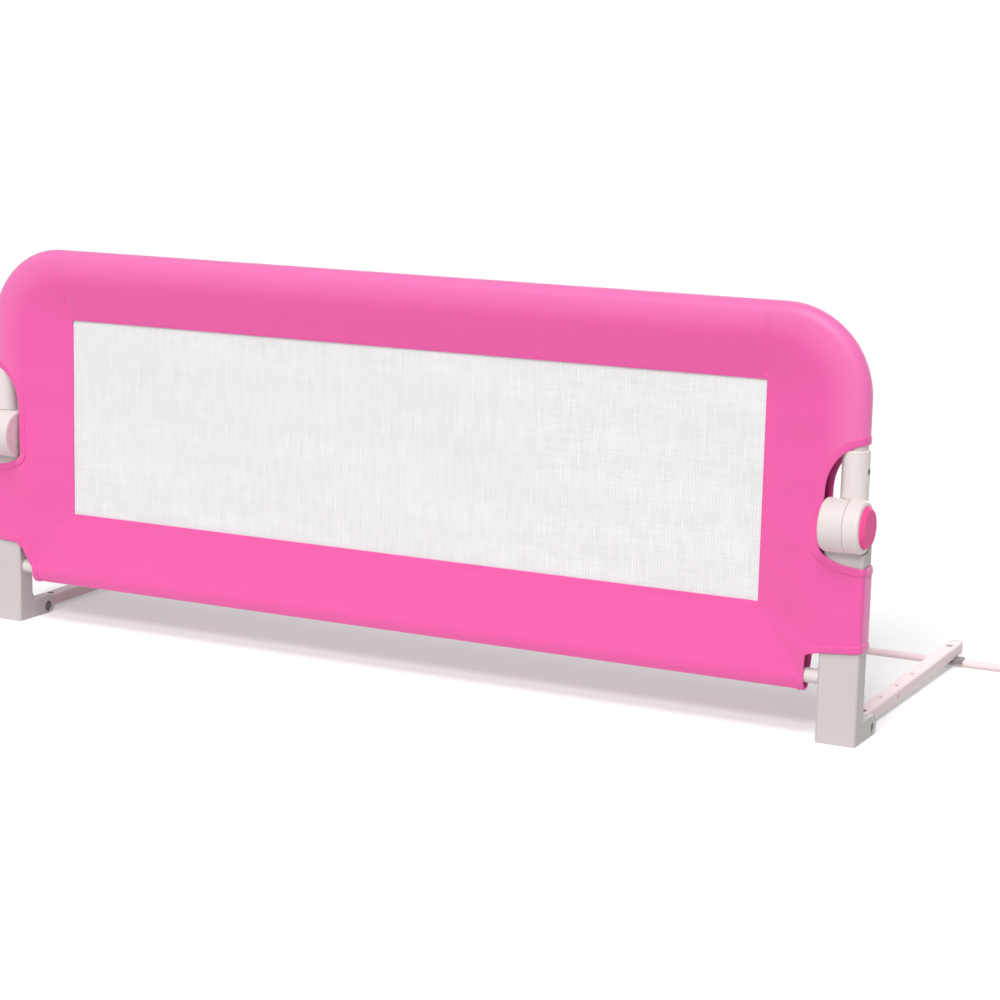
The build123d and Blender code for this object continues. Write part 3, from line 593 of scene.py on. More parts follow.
@dataclass(frozen=True)
class ClothFinish:
    """Woven surface of a soft piece."""

    name: str
    slot: str
    colour: str
    cloth: Cloth
    pitch: float
    width: float
    contrast: float
    sheen: float
    # Paler colour mixed in as a painted highlight where the cloth is stretched over the upper tube.
    over_tube: str = ""
    weft_share: float = 1.0
    # Share by which the colour is darkened in the hollows between the yarns: painted shade.
    hollow_shade: float = 0.13
    sheen_tint: str = "FFFFFF"
    sheen_roughness: float = 0.4
    roughness: float = 0.42
    hollow_roughness: float = 0.08
    yarn_gloss: float = 0.1
    bump_strength: float = 0.4
    depth: float = 0.0001

    def material(self, groups: dict[str, bpy.types.NodeTree]) -> bpy.types.Material:
        """Build the material, with holes between the yarns of an open net.

        Args:
            groups: The shared node groups by name.

        Returns:
            The material.
        """
        made, graph, shader = start_material(self.name)
        flat = graph.node("ShaderNodeUVMap", uv_map=CLOTH_MAP)
        yarns = graph.node("ShaderNodeGroup", node_tree=groups["yarns"])
        graph.feed(yarns.inputs["Vector"], flat.outputs["UV"])
        graph.feed(yarns.inputs["Warp Pitch"], self.pitch)
        graph.feed(yarns.inputs["Weft Pitch"], self.pitch * self.weft_share)
        graph.feed(yarns.inputs["Width"], self.width)
        graph.feed(yarns.inputs["Contrast"], self.contrast)
        # Darker colour at the yarns' edges and in the hollows between them: painted shade.
        painted_hollow_shade = graph.math("MULTIPLY_ADD", yarns.outputs["Height"], self.hollow_shade, 1 - self.hollow_shade)
        shade = graph.math("MULTIPLY", yarns.outputs["Shade"], painted_hollow_shade)
        cloth_colour = linear(self.colour)
        # Paler colour by the point attribute: painted highlight over the upper tube.
        if self.over_tube:
            highlight_attribute = graph.node("ShaderNodeAttribute", attribute_name=HIGHLIGHT_ATTRIBUTE)
            cloth_colour = graph.mix(highlight_attribute.outputs["Fac"], cloth_colour, linear(self.over_tube))
        graph.feed(shader.inputs["Base Color"], graph.tint(cloth_colour, shade))
        in_hollows = self.roughness + self.hollow_roughness
        rough = graph.math("MULTIPLY_ADD", yarns.outputs["Height"], -self.yarn_gloss, in_hollows)
        graph.feed(shader.inputs["Roughness"], rough)
        shader.inputs["Sheen Weight"].default_value = self.sheen
        shader.inputs["Sheen Roughness"].default_value = self.sheen_roughness
        shader.inputs["Sheen Tint"].default_value = linear(self.sheen_tint)
        if self.cloth is Cloth.OPEN_NET:
            graph.feed(shader.inputs["Alpha"], yarns.outputs["Covered"])
        raised = graph.bump(yarns.outputs["Height"], self.bump_strength, self.depth)
        graph.feed(shader.inputs["Normal"], raised)
        return made


FINISHES = (
    # The leg's barrel colour is painted light on the rounded barrel.
    Finish(
        "leg_moulding", "leg_plastic", "D3CCCB", 0.5,
        grain_scale=700, contrast=0.05, specular=0.35, barrel_light_colour="EAE1DE",
    ),
    Finish("hinge_moulding", "hinge_plastic", "EEE4E1", 0.34, grain_scale=500, contrast=0.03, coat=0.1),
    Finish(
        "button_moulding", "button_plastic", "FF58A0", 0.5,
        grain_scale=600, contrast=0.05, specular=0.2,
    ),
    # The dark nylon also serves as the painted shade of the screw recesses.
    Finish("lock_nylon", "lock_plastic", "3E3E42", 0.55),
    Finish("plug_moulding", "plug_plastic", "E2DDDA", 0.5, grain_scale=600),
    Finish("saddle_moulding", "saddle_plastic", "8F8A8A", 0.5, grain_scale=700),
    # White powder coat tinted pink: painted reflection of the pink cover.
    Finish(
        "arm_powder_coat", "arm_enamel", "FAE6E7", 0.42,
        grain_scale=1400, grain_depth=0.00006, contrast=0.04,
    ),
    Finish(
        "tube_powder_coat", "tube_enamel", "E6E0DD", 0.4,
        grain_scale=1400, grain_depth=0.00006, contrast=0.04,
    ),
    Finish(
        "dark_zinc", "fastener_steel", "6B6A6E", 0.36,
        metallic=1.0, contrast=0.2, soil_roughness=0.25,
    ),
    Finish("spring_wire", "spring_steel", "9A999C", 0.3, metallic=1.0, contrast=0.15),
    Finish("dipped_vinyl", "cap_vinyl", "E8E4E1", 0.45, grain_scale=400, contrast=0.05),
)
# The cover's second, paler colour is a painted highlight over the upper tube.
COVER_CLOTH = ClothFinish(
    "cover_weave", "cover_fabric", "F85EB0", Cloth.CLOSED,
    pitch=0.0007, width=1.0, contrast=0.03, sheen=0.6, over_tube="FA76BD", sheen_tint="FFE0F2",
)
THREAD = ClothFinish(
    "stitch_thread", "cover_fabric", "F86FB6", Cloth.CLOSED,
    pitch=0.0005, width=1.0, contrast=0.05, sheen=0.2,
)
NET_CLOTH = ClothFinish(
    "window_weave", "window_mesh", "FCFCFC", Cloth.OPEN_NET,
    pitch=0.0032, width=0.70, contrast=0.14, sheen=0.03, weft_share=0.56, hollow_shade=0.34, roughness=0.5,
)


@dataclass
class EdgeLoop:
    """Closed free edge of the cover: its points, their outward normals and a point in its opening."""

    name: str
    points: np.ndarray
    normals: np.ndarray
    opening: tuple[float, float, float]
    normal_ease: int = 3

    def frame(self, count: int) -> tuple[np.ndarray, ...]:
        """Place an even moving frame round the edge.

        The along direction is the difference of the neighbouring points. The into direction is the
        cross product of the outward normal and that, turned away from the opening.

        Args:
            count: Number of frames.

        Returns:
            Places, directions along the edge, directions into the cloth, and outward normals.
        """
        even = spread_evenly(np.hstack([self.points, self.normals]), count, closed=True)
        place = even[:, :3]
        normal = unit(soften(even[:, 3:], self.normal_ease))
        along = ring_directions(place)
        into = unit(np.cross(normal, along))
        away = (into * (place - np.array(self.opening))).sum(1).mean()
        return place, along, into * np.sign(away), normal


OPENINGS = {"hinge": (0.500, RAIL_Y, 0.225), "foot": (0.490, RAIL_Y, 0.060)}


@dataclass(frozen=True)
class EndCut:
    """Openings at one end of the cover: the dip under the hinge, the foot notch and the end seam."""

    dip_height: float
    notch_top: float
    notch_edge: float
    notch_drop: float
    notch_lean: float
    seam_lean: float


END_CUTS = {
    Side.RIGHT: EndCut(
        dip_height=0.0195, notch_top=0.0875, notch_edge=0.4510,
        notch_drop=0.003, notch_lean=0.001, seam_lean=0.0005,
    ),
    Side.LEFT: EndCut(
        dip_height=0.0160, notch_top=0.0895, notch_edge=0.4600,
        notch_drop=0.005, notch_lean=0.009, seam_lean=0.0110,
    ),
}


@dataclass(frozen=True)
class Sleeve:
    """Turn of the cloth round a tube.

    The cloth leaves the tube at an angle inside its front. It may hang away from the tube by a share of
    the radius. A squareness below one flattens its front and back.
    """

    radius: float
    leave: float
    steps: int
    hang: float = 0.0
    squareness: float = 1.0

    def inset(self) -> float:
        """Distance of the leaving line inside the middle of the tube."""
        return self.radius * math.sin(self.leave)

    def depth(self) -> float:
        """Half depth of the cloth at the leaving line."""
        return self.radius * math.cos(self.leave) ** self.squareness

    def turn(self, line: np.ndarray, outward: np.ndarray) -> np.ndarray:
        """Turn the cloth round the tube, from the front leaving line to the back one.

        The angle runs from just inside the tube's front to just inside its back. The distance outwards
        is the radius times the sine. The depth is the radius times a power of the cosine.

        Args:
            line: Leaving line (x, 0, z).
            outward: Directions away from the window.

        Returns:
            Points by station and by step round the tube, and the arc length in the last column.
        """
        angle = np.linspace(-self.leave, math.pi + self.leave, self.steps)
        slack = 1 + self.hang * np.maximum(np.sin(angle), 0)
        away = self.radius * np.sin(angle) * slack + self.inset()
        points = line[:, None, :] + outward[:, None, :] * away[None, :, None]
        across = np.sign(np.cos(angle)) * np.abs(np.cos(angle)) ** self.squareness
        points[:, :, 1] = RAIL_Y - self.radius * across
        arc = np.broadcast_to(self.radius * (angle + self.leave), points.shape[:2])
        return np.dstack([points, arc])


@dataclass
class Stations:
    """Lines of the cloth, one row each, from the window's edge to an outer line.

    Each has the half depth at its tube or leg, the share of the way there that the cloth reaches, and
    how full the cloth is.
    """

    outer: np.ndarray
    inner: np.ndarray
    depth: np.ndarray
    reach: np.ndarray
    fullness: np.ndarray

    def joined(self, other: "Stations") -> "Stations":
        """Close the ring with the stations of the other end, mirrored in X.

        Args:
            other: Stations of the other end.

        Returns:
            The closed ring, in which the two middles stand once.
        """
        mirror = np.array([-1.0, 1.0, 1.0])
        lines = ((self.outer, other.outer), (self.inner, other.inner))
        values = ((self.depth, other.depth), (self.reach, other.reach), (self.fullness, other.fullness))
        return Stations(
            *[np.vstack([mine, theirs[::-1][1:-1] * mirror]) for mine, theirs in lines],
            *[np.concatenate([mine, theirs[::-1][1:-1]]) for mine, theirs in values],
        )


@dataclass
class Block:
    """Grid of points of the cover, whose rows are stations and whose columns cross the cloth.

    Pale is the share of paler cloth at each point, a painted highlight over the upper tube. A turn round
    a tube or a leg has its arc length as a fourth value, the line where it starts, and the direction in
    which its cloth unrolls.
    """

    grid: np.ndarray
    pale: np.ndarray
    line: np.ndarray | None = None
    away: np.ndarray | None = None
    first: int = 0

    def quads(self) -> np.ndarray:
        """Quads of the grid, whose rows close in a ring unless it is a turn."""
        return grid_quads(*self.pale.shape, close_rows=self.line is None)

    def flat(self) -> np.ndarray:
        """Lay the grid out flat: X and height, or on a turn the arc length from the line where it starts.

        Returns:
            Places of the points on the flat cloth.
        """
        if self.line is None:
            return self.grid[:, :, [0, 2]].reshape(-1, 2)
        laid_out = self.away[:, None, [0, 2]] * self.grid[:, :, 3:4]
        return (self.line[:, None, [0, 2]] + laid_out).reshape(-1, 2)

    def numbers(self) -> np.ndarray:
        """Point numbers of the grid in the whole cover."""
        return self.first + np.arange(self.pale.size).reshape(self.pale.shape)


@dataclass
class Cover:
    """Sewn fabric sleeve over the frame: two taut layers, joined round the tubes and legs.

    Its stations run round the window. At each station the cloth goes from the window's edge to an
    outer line, and there it either turns round a tube or a leg to the other layer, or ends in a hem.
    """

    window_half: float = 0.399
    window_bottom: float = 0.1265
    window_top: float = 0.3390
    window_shoulder: float = 0.320
    window_corner: float = 0.004
    seam_half: float = 0.0016
    tube_x: float = 0.4895
    tube_top: float = 0.4014
    tube_bend: float = 0.074
    rail_sleeve: Sleeve = Sleeve(0.0126, math.radians(-8), 22)
    cross_sleeve: Sleeve = Sleeve(0.0091, math.radians(8), 18, hang=0.60, squareness=0.6)
    straight_share: float = 0.5
    swell: float = 0.9
    # Where the paler cloth of the painted highlight lies: how far out, and above which height.
    pale_from: float = 0.62
    pale_low: float = 0.22
    pale_blend: float = 0.04
    leg_edge: float = 0.468
    leg_side: float = 0.5071
    leg_half: float = 0.0136
    leg_round: float = 0.0055
    leg_blend_top: float = 0.245
    leg_blend: float = 0.060
    cross_height: float = 0.061
    cutout_centre: tuple[float, float] = (0.507, 0.239)
    cutout_arch: tuple[float, float] = (0.043, 0.048)
    dip_centre: tuple[float, float] = (0.505, 0.190)
    dip_reach: float = 0.0435
    notch_round: float = 0.005
    notch_slope: float = 0.08
    thickness: float = 0.0012
    counts: tuple[int, ...] = (88, 36, 16, 60, 24, 22, 88)
    rings: int = 18
    corner_ease: int = 140
    tube_hold: float = 0.25
    seam_hold: float = 0.08
    edge_hold: float = 0.10
    leg_hold: float = 0.006

    def starts(self) -> np.ndarray:
        """Number of the first station of each run, and of the end."""
        return np.concatenate([[0], np.cumsum(self.counts)])

    def cutout_top_edge(self, x: np.ndarray) -> np.ndarray:
        """Height of the hinge opening's upper edge at a distance from the middle: a quarter ellipse."""
        share = np.clip((self.cutout_centre[0] - x) / self.cutout_arch[0], 0, 1)
        return self.cutout_centre[1] + self.cutout_arch[1] * np.sqrt(1 - share**2)

    def cutout_bottom_edge(self, x: np.ndarray, side: Side) -> np.ndarray:
        """Height of the hinge opening's lower edge at a distance from the middle: a quarter ellipse."""
        share = np.clip((self.dip_centre[0] - x) / self.dip_reach, 0, 1)
        return self.dip_centre[1] - END_CUTS[side].dip_height * np.sqrt(1 - share**2)

    def notch_top_edge(self, x: np.ndarray, side: Side) -> np.ndarray:
        """Height of the foot notch's upper edge on the leg: a line that rises outwards."""
        return END_CUTS[side].notch_top + self.notch_slope * (x - self.leg_edge)

    def rise(self, share: np.ndarray, fullness: np.ndarray) -> np.ndarray:
        """Rise of the cloth on its way to a tube.

        Slack cloth rises in a line. Full cloth rises in a line, then in a parabola that swells past the
        tube and comes back to it.

        Args:
            share: Share of the way from the window's edge.
            fullness: Zero for slack and one for full cloth.

        Returns:
            The share of the rise.
        """
        round_share = 1 - self.straight_share
        slope = (1 + self.swell * round_share / 2) / (1 - round_share / 2)
        bend = np.maximum(share - self.straight_share, 0)
        full = slope * share - (slope + self.swell) * bend**2 / (2 * round_share)
        return share * (1 - fullness) + full * fullness

    def cutout_line(self, start: float, end: float, side: Side) -> np.ndarray:
        """Edge of a hinge opening in one layer: an arch, a straight side and a dip.

        Args:
            start: Distance from the middle where the arch leaves the sleeve.
            end: Distance from the middle where the dip reaches the leg.
            side: End of the rail.

        Returns:
            Evenly spread points (x, 0, z), from top to bottom.
        """
        fine = 60
        wide, high = self.cutout_arch
        first = math.acos((self.cutout_centre[0] - start) / wide)
        arch = arc(self.cutout_centre, (-wide, high), np.linspace(first, 0, fine))
        wide, deep = self.dip_reach, END_CUTS[side].dip_height
        last = math.acos((self.dip_centre[0] - end) / wide)
        dip = arc(self.dip_centre, (-wide, -deep), np.linspace(0, last, fine))
        return spread_evenly(np.vstack([arch, dip]), self.counts[3] + 1)[:-1]

    def notch_line(self, side: Side) -> np.ndarray:
        """Edge of a foot notch in one layer: a level run, a round corner and a leaning side.

        Args:
            side: End of the rail.

        Returns:
            Evenly spread points (x, 0, z), from the leg to the bottom.
        """
        cut = END_CUTS[side]
        bottom = self.cross_height + self.cross_sleeve.inset()
        shoulder = cut.notch_top - cut.notch_drop
        fine = 12
        turn = np.linspace(0, math.pi / 2, fine)
        corner = np.column_stack([
            cut.notch_edge + self.notch_round * (1 - np.sin(turn)),
            np.zeros(fine),
            shoulder - self.notch_round * (1 - np.cos(turn)),
        ])
        ends = [(self.leg_edge, 0, cut.notch_top)], [(cut.notch_edge - cut.notch_lean, 0, bottom)]
        return spread_evenly(np.vstack([ends[0], corner, ends[1]]), self.counts[5] + 1)[:-1]

    def half_ring(self, side: Side) -> Stations:
        """Stations of one half of the cover, from the middle of its top to the middle of its bottom.

        Args:
            side: End of the rail.

        Returns:
            The stations, with places as (x, 0, z).
        """
        count = self.counts
        window, tube = self.window_half, self.tube_x - self.rail_sleeve.inset()
        top, level = self.tube_top - self.rail_sleeve.inset(), self.tube_top - self.tube_bend
        cut = END_CUTS[side]
        bend_x, seam_x = self.tube_x - self.tube_bend, window + cut.seam_lean
        fine, crowd = 40, 1.5
        radius = self.tube_bend - self.rail_sleeve.inset()
        bend = arc((bend_x, level), (radius, radius), np.linspace(math.pi / 2, 0, fine))
        bend = spread_evenly(np.vstack([[(seam_x, 0, top)], bend]), count[1] + 1)[:-1]
        arch_end = float(self.cutout_top_edge(np.array(tube)))
        leg_top = float(self.cutout_bottom_edge(np.array(self.leg_edge), side))
        bottom = self.cross_height + self.cross_sleeve.inset()
        foot_x = cut.notch_edge - cut.notch_lean
        outer = np.vstack([
            run((0, 0, top), (seam_x, 0, top), count[0], crowd),
            bend,
            run((tube, 0, level), (tube, 0, arch_end), count[2]),
            self.cutout_line(tube, self.leg_edge, side),
            run((self.leg_edge, 0, leg_top), (self.leg_edge, 0, cut.notch_top), count[4]),
            self.notch_line(side),
            run((foot_x, 0, bottom), (0, 0, bottom), count[6]),
            [(0, 0, bottom)],
        ])
        corner, shoulder = self.window_corner, self.window_shoulder
        inner = np.vstack([
            run((0, 0, self.window_top), (window, 0, self.window_top), count[0], crowd),
            run((window, 0, self.window_top), (window, 0, shoulder), count[1]),
            run((window, 0, shoulder), (window, 0, arch_end), count[2]),
            run((window, 0, arch_end), (window, 0, leg_top), count[3]),
            run((window, 0, leg_top), (window, 0, self.window_bottom + corner), count[4]),
            spread_evenly(
                np.array([
                    (window, 0, self.window_bottom + corner),
                    (window, 0, self.window_bottom),
                    (window - corner, 0, self.window_bottom),
                ]),
                count[5] + 1,
            )[:-1],
            run((window - corner, 0, self.window_bottom), (0, 0, self.window_bottom), count[6]),
            [(0, 0, self.window_bottom)],
        ])
        tube_depth, cross_depth = self.rail_sleeve.depth(), self.cross_sleeve.depth()
        starts = self.starts()
        depth = np.full(len(outer), tube_depth)
        hole = slice(starts[3], starts[4])
        x, z = outer[hole, 0] - window, outer[hole, 2]
        lower = smooth_step((self.leg_blend_top - z) / self.leg_blend)
        depth[hole] = tube_depth * (1 - lower) + self.leg_half * lower
        reach = np.ones(len(outer))
        reach[hole] = x / (tube - window) * (1 - lower) + x / (self.leg_edge - window) * lower
        depth[starts[4]:starts[5]] = self.leg_half
        share = np.arange(count[5]) / count[5]
        depth[starts[5]:starts[6]] = self.leg_half * (1 - share) + cross_depth * share
        depth[starts[6]:] = cross_depth
        fullness = 1 - smooth_step((np.arange(len(outer)) - starts[4]) / count[4])
        return Stations(outer, inner, depth, np.minimum(reach, 1), fullness)

    def ring(self) -> Stations:
        """The closed ring of stations, from the middle of the top past the right end."""
        return self.half_ring(Side.RIGHT).joined(self.half_ring(Side.LEFT))

    def ripples(self, x: np.ndarray, z: np.ndarray, layer: Layer) -> np.ndarray:
        """How far the cloth stands off its taut surface.

        Slow waves are sums of sines. Drawn cloth beside the hinge openings is a sine under a bell curve.
        The end seams are narrow valleys along lines over the window's upper corners. Folds above the
        notches are short sines that fade with height and along the rail.

        Args:
            x: Places along the rail.
            z: Heights.
            layer: Face of the cover.

        Returns:
            The distance outwards.
        """
        phase = 0.7 * layer.value
        waves = 0.00022 * np.sin(31 * x + 17 * z + phase) + 0.00016 * np.sin(52 * x - 39 * z + 2 * phase)
        drawn = 0.00030 * np.sin(115 * z + 9 * x) * bell(np.abs(x), 0.440, 0.030)
        at_left = x < 0
        above = z - self.window_top
        lean = np.where(at_left, 0.19, 0.01) * above
        sway = np.where(at_left, 0.0012, 0) * np.sin(140 * above)
        off = np.abs(x) - self.window_half - lean - sway
        over = smooth_step((above - np.where(at_left, 0.008, 0)) / 0.006)
        valley = -0.0007 * bell(off, 0, 0.0012) - 0.0004 * bell(off, 0, 0.005)
        crease = np.where(at_left, 2.2, 1.7) * valley * over
        folds = 0.0007 * np.sin((z - 0.0975) * 900)
        folds = folds * bell(np.abs(x), 0.470, 0.025) * bell(z, 0.103, 0.012)
        return waves + drawn + crease + folds

    def ring_shares(self) -> np.ndarray:
        """Shares of the way outwards, crowded at both ends by a cosine."""
        return (1 - np.cos(np.pi * np.linspace(0, 1, self.rings))) / 2

    def layer_grid(self, stations: Stations, layer: Layer) -> np.ndarray:
        """Taut cloth of one layer: lines from the window's edge to the outer line, full near the tubes.

        The depth is eased from station to station, so that the cloth turns softly at the corners.

        Args:
            stations: The closed ring of stations.
            layer: Face of the cover.

        Returns:
            Points by station and by step outwards.
        """
        share = self.ring_shares()[None, :]
        points = stations.inner[:, None, :] * (1 - share[:, :, None])
        points = points + stations.outer[:, None, :] * share[:, :, None]
        risen = self.rise(share * stations.reach[:, None], stations.fullness[:, None])
        half = self.seam_half + (stations.depth - self.seam_half)[:, None] * risen
        free = smooth_step((1 - share) / self.tube_hold)
        half = half * (1 - free) + soften(half, self.corner_ease) * free
        loose = smooth_step(share / self.seam_hold) * smooth_step((1 - share) / self.edge_hold)
        half = half + loose * self.ripples(points[:, :, 0], points[:, :, 2], layer)
        points[:, :, 1] = RAIL_Y + layer.value * half
        return points

    def window_seam(self, layer: Layer, inset: float) -> np.ndarray:
        """Line on the cloth at a distance outside the window's edge.

        The share of each station's way is the distance over its longer reach, along X or up. The place
        there lies between the two nearest rings.

        Args:
            layer: Face of the cover.
            inset: Distance of the line from the window's edge.

        Returns:
            The points of the closed line.
        """
        stations = self.ring()
        grid = self.layer_grid(stations, layer)
        share = inset / np.abs(stations.outer - stations.inner).max(1)
        rings = self.ring_shares()
        upper = np.clip(np.searchsorted(rings, share), 1, self.rings - 1)
        part = ((share - rings[upper - 1]) / (rings[upper] - rings[upper - 1]))[:, None]
        row = np.arange(len(share))
        return grid[row, upper - 1] * (1 - part) + grid[row, upper] * part

    def round_leg(self, line: np.ndarray, side: Side) -> np.ndarray:
        """Turn the cloth round a leg: a flat front, a rounded edge, a flat side and the same again.

        Args:
            line: Leaving line (x, 0, z), from the hinge opening to the notch.
            side: End of the rail.

        Returns:
            Points by station and by step round the leg, and the arc length in the last column.
        """
        flat_steps, turn_steps = 8, 7
        turn = np.linspace(0, math.pi / 2, turn_steps)
        edge = self.leg_side - self.leg_round
        quarter = np.column_stack([
            edge + self.leg_round * np.sin(turn),
            self.leg_round - self.leg_half - self.leg_round * np.cos(turn),
        ])
        flat_x = np.linspace(self.leg_edge, edge, flat_steps, endpoint=False)
        front = np.vstack([np.column_stack([flat_x, np.full(flat_steps, -self.leg_half)]), quarter])
        section = np.vstack([front, front[::-1] * np.array([1, -1])])
        x, y = section.T
        step = np.linalg.norm(np.diff(section, axis=0), axis=1)
        arc = np.concatenate([[0], np.cumsum(step)])
        top, foot = self.cutout_bottom_edge(x, side), self.notch_top_edge(x, side)
        low = line[:, 2].min()
        share = ((line[:, 2] - low) / (line[:, 2].max() - low))[:, None]
        z = foot + share * (top - foot)
        on_front = y < -0.99 * self.leg_half
        folds = self.ripples(np.broadcast_to(x, z.shape), z, Layer.FRONT)
        folds = folds * smooth_step((x - self.leg_edge) / self.leg_hold) * on_front
        wide = np.broadcast_to(side.value * x, z.shape)
        return np.dstack([wide, RAIL_Y + y - folds, z, np.broadcast_to(arc, z.shape)])

    def round_rail(self, line: np.ndarray) -> tuple[np.ndarray, np.ndarray]:
        """Turn the cloth round the bent rail tube.

        The outward direction points up over the middle, away from the bend's centre at a corner, and
        sideways on a post. On a post the rows slide, so that the last one follows the hinge opening.

        Args:
            line: Leaving line (x, 0, z), from the left hinge opening to the right one.

        Returns:
            Points by station and by step round the tube, with the arc length in the last column, and
            the outward directions.
        """
        x, z = line[:, 0], line[:, 2]
        level = self.tube_top - self.tube_bend
        aside = np.sign(x) * np.maximum(np.abs(x) - (self.tube_x - self.tube_bend), 0)
        outward = unit(np.column_stack([aside, 0 * x, np.maximum(z - level, 0)]))
        sleeve = self.rail_sleeve.turn(line, outward)
        share = ((level - z) / (level - z.min()))[:, None]
        post = level - share * (level - self.cutout_top_edge(np.abs(sleeve[:, :, 0])))
        sleeve[:, :, 2] = np.where((z < level)[:, None], post, sleeve[:, :, 2])
        return sleeve, outward

    def blocks(self, stations: Stations) -> dict[str, Block]:
        """Work out the grids of the cover: two taut layers, and the turns round the tubes and legs.

        Args:
            stations: The closed ring of stations.

        Returns:
            The grids by name, numbered one after the other.
        """
        outer, total, starts = stations.outer, len(stations.outer), self.starts()
        # Paler cloth near the outer line and above a height: painted highlight over the upper tube.
        upper = smooth_step((outer[:, 2] - self.pale_low) / self.pale_blend)[:, None]
        way = self.ring_shares()[None, :] * stations.reach[:, None]
        pale = upper * smooth_step((way - self.pale_from) / (1 - self.pale_from))
        made = {
            "front": Block(self.layer_grid(stations, Layer.FRONT), pale),
            "back": Block(self.layer_grid(stations, Layer.BACK)[:, ::-1], pale[:, ::-1]),
        }
        line = outer[np.arange(-starts[3], starts[3] + 1) % total]
        sleeve, outward = self.round_rail(line)
        # The sleeve round the upper tube is paler all over, as painted highlight; the trough and legs are
        # not.
        made["sleeve"] = Block(sleeve, np.ones(sleeve.shape[:2]), line, outward)
        line = outer[starts[6]:total - starts[6] + 1]
        down = np.tile((0.0, 0.0, -1.0), (len(line), 1))
        trough = self.cross_sleeve.turn(line, down)
        made["trough"] = Block(trough, np.zeros(trough.shape[:2]), line, down)
        right = outer[starts[4]:starts[5] + 1]
        left = outer[total - starts[5]:total - starts[4] + 1]
        for side, line in ((Side.RIGHT, right), (Side.LEFT, left)):
            order = side.value
            wrap = self.round_leg(line[::order], side)[::order]
            aside = np.tile((float(side.value), 0.0, 0.0), (len(line), 1))
            made[f"{side.name.lower()}_leg"] = Block(wrap, np.zeros(wrap.shape[:2]), line, aside)
        count = 0
        for block in made.values():
            block.first = count
            count += block.pale.size
        return made

    def edge_loops(
        self, blocks: dict[str, Block], points: np.ndarray, normals: np.ndarray, welded: np.ndarray
    ) -> list[EdgeLoop]:
        """Follow the free edges round the hinge openings and the foot notches.

        Each runs along the front layer, over a turn, back along the back layer and over another turn.

        Args:
            blocks: The grids by name.
            points: Welded points.
            normals: Their outward normals.
            welded: Welded number of each grid point.

        Returns:
            The four closed edges.
        """
        numbers = {name: block.numbers() for name, block in blocks.items()}
        front, back = numbers["front"][:, -1], numbers["back"][:, 0]
        starts = self.starts()
        loops = []
        for side in Side:
            label = side.name.lower()
            leg = numbers[f"{label}_leg"]
            upper, lower = (0, -1) if side is Side.RIGHT else (-1, 0)
            runs = {
                "hinge": (starts[3], starts[4], leg[upper], numbers["sleeve"][lower]),
                "foot": (starts[5], starts[6], numbers["trough"][upper], leg[lower]),
            }
            for name, (start, end, first, second) in runs.items():
                row = side.value * np.arange(start, end + 1) % len(front)
                loop = welded[np.concatenate([front[row], first, back[row][::-1], second[::-1]])]
                loop = loop[loop != np.roll(loop, 1)]
                x, y, z = OPENINGS[name]
                middle = (x * side.value, y, z)
                loops.append(EdgeLoop(f"{label}_{name}", points[loop], normals[loop], middle))
        return loops

    def build(self) -> tuple[bpy.types.Object, list[EdgeLoop]]:
        """Work out the whole cover as one welded sheet.

        Returns:
            The cover and its four hemmed edges.
        """
        blocks = self.blocks(self.ring())
        points, faces, flat, pale = [], [], [], []
        for block in blocks.values():
            quads = block.quads()
            points.append(block.grid[:, :, :3].reshape(-1, 3))
            faces.append(quads + block.first)
            flat.append(block.flat()[quads.ravel()])
            pale.append(block.pale.ravel())
        points = np.vstack(points)
        keys = np.round(points / WELD_STEP).astype(np.int64)
        _, kept, welded = np.unique(keys, axis=0, return_index=True, return_inverse=True)
        welded = welded.ravel()
        points = points[kept]
        piece = make_object("cover", points, welded[np.vstack(faces)], np.vstack(flat))
        # Store the shares of painted highlight on the points, for the cloth's material.
        shares = piece.data.attributes.new(HIGHLIGHT_ATTRIBUTE, "FLOAT", "POINT")
        shares.data.foreach_set("value", np.concatenate(pale)[kept].astype(np.float32))
        normals = np.zeros(points.size, np.float32)
        piece.data.vertex_normals.foreach_get("vector", normals)
        loops = self.edge_loops(blocks, points, normals.reshape(-1, 3), welded)
        thicken(piece, self.thickness, -1.0)
        return piece, loops


@dataclass
class Hem:
    """Folded hem along a free edge of the cover."""

    width: float = 0.0072
    rise: float = 0.0008
    under: float = 0.0014
    nose: float = 0.0005
    pitch: float = 0.0016

    def profile(self) -> np.ndarray:
        """Section of the hem: a flat fold with a round nose at the edge of the cloth.

        Returns:
            Distances into the cloth and outwards, round the section.
        """
        high, low, wide, nose = self.rise, -self.under, self.width, -self.nose
        upper = [(wide, 0.0), (wide - 0.0003, high * 0.8), (wide - 0.0009, high), (wide * 0.5, high * 1.05)]
        turn = [(0.0012, high), (0.0002, high * 0.75), (nose * 0.8, high * 0.1), (nose, low * 0.4)]
        lower = [(nose * 0.7, low * 0.8), (0.0003, low), (wide * 0.5, low), (wide - 0.0006, low)]
        return np.array([*upper, *turn, *lower, (wide, low * 0.7)])

    def build(self, edge: EdgeLoop) -> bpy.types.Object:
        """Carry the section round an edge.

        Each point is the edge's place, plus the section's distances along the into and outward directions.

        Args:
            edge: Free edge of the cover.

        Returns:
            The hem.
        """
        place, along, into, normal = edge.frame(int(line_length(edge.points) / self.pitch))
        profile = self.profile()
        points = (
            place[:, None, :]
            + into[:, None, :] * profile[None, :, :1]
            + normal[:, None, :] * profile[None, :, 1:]
        )
        rows, columns = points.shape[:2]
        quads = grid_quads(rows, columns, True, True)
        turn = np.cross(along, into)
        if (turn * normal).sum(1).mean() > 0:
            quads = quads[:, ::-1]
        around = line_length(profile) / columns
        steps = np.meshgrid(np.arange(rows) * self.pitch, np.arange(columns) * around, indexing="ij")
        flat = np.stack(steps, -1).reshape(-1, 2)[quads.ravel()]
        return make_object(f"hem_{edge.name}", points.reshape(-1, 3), quads, flat)


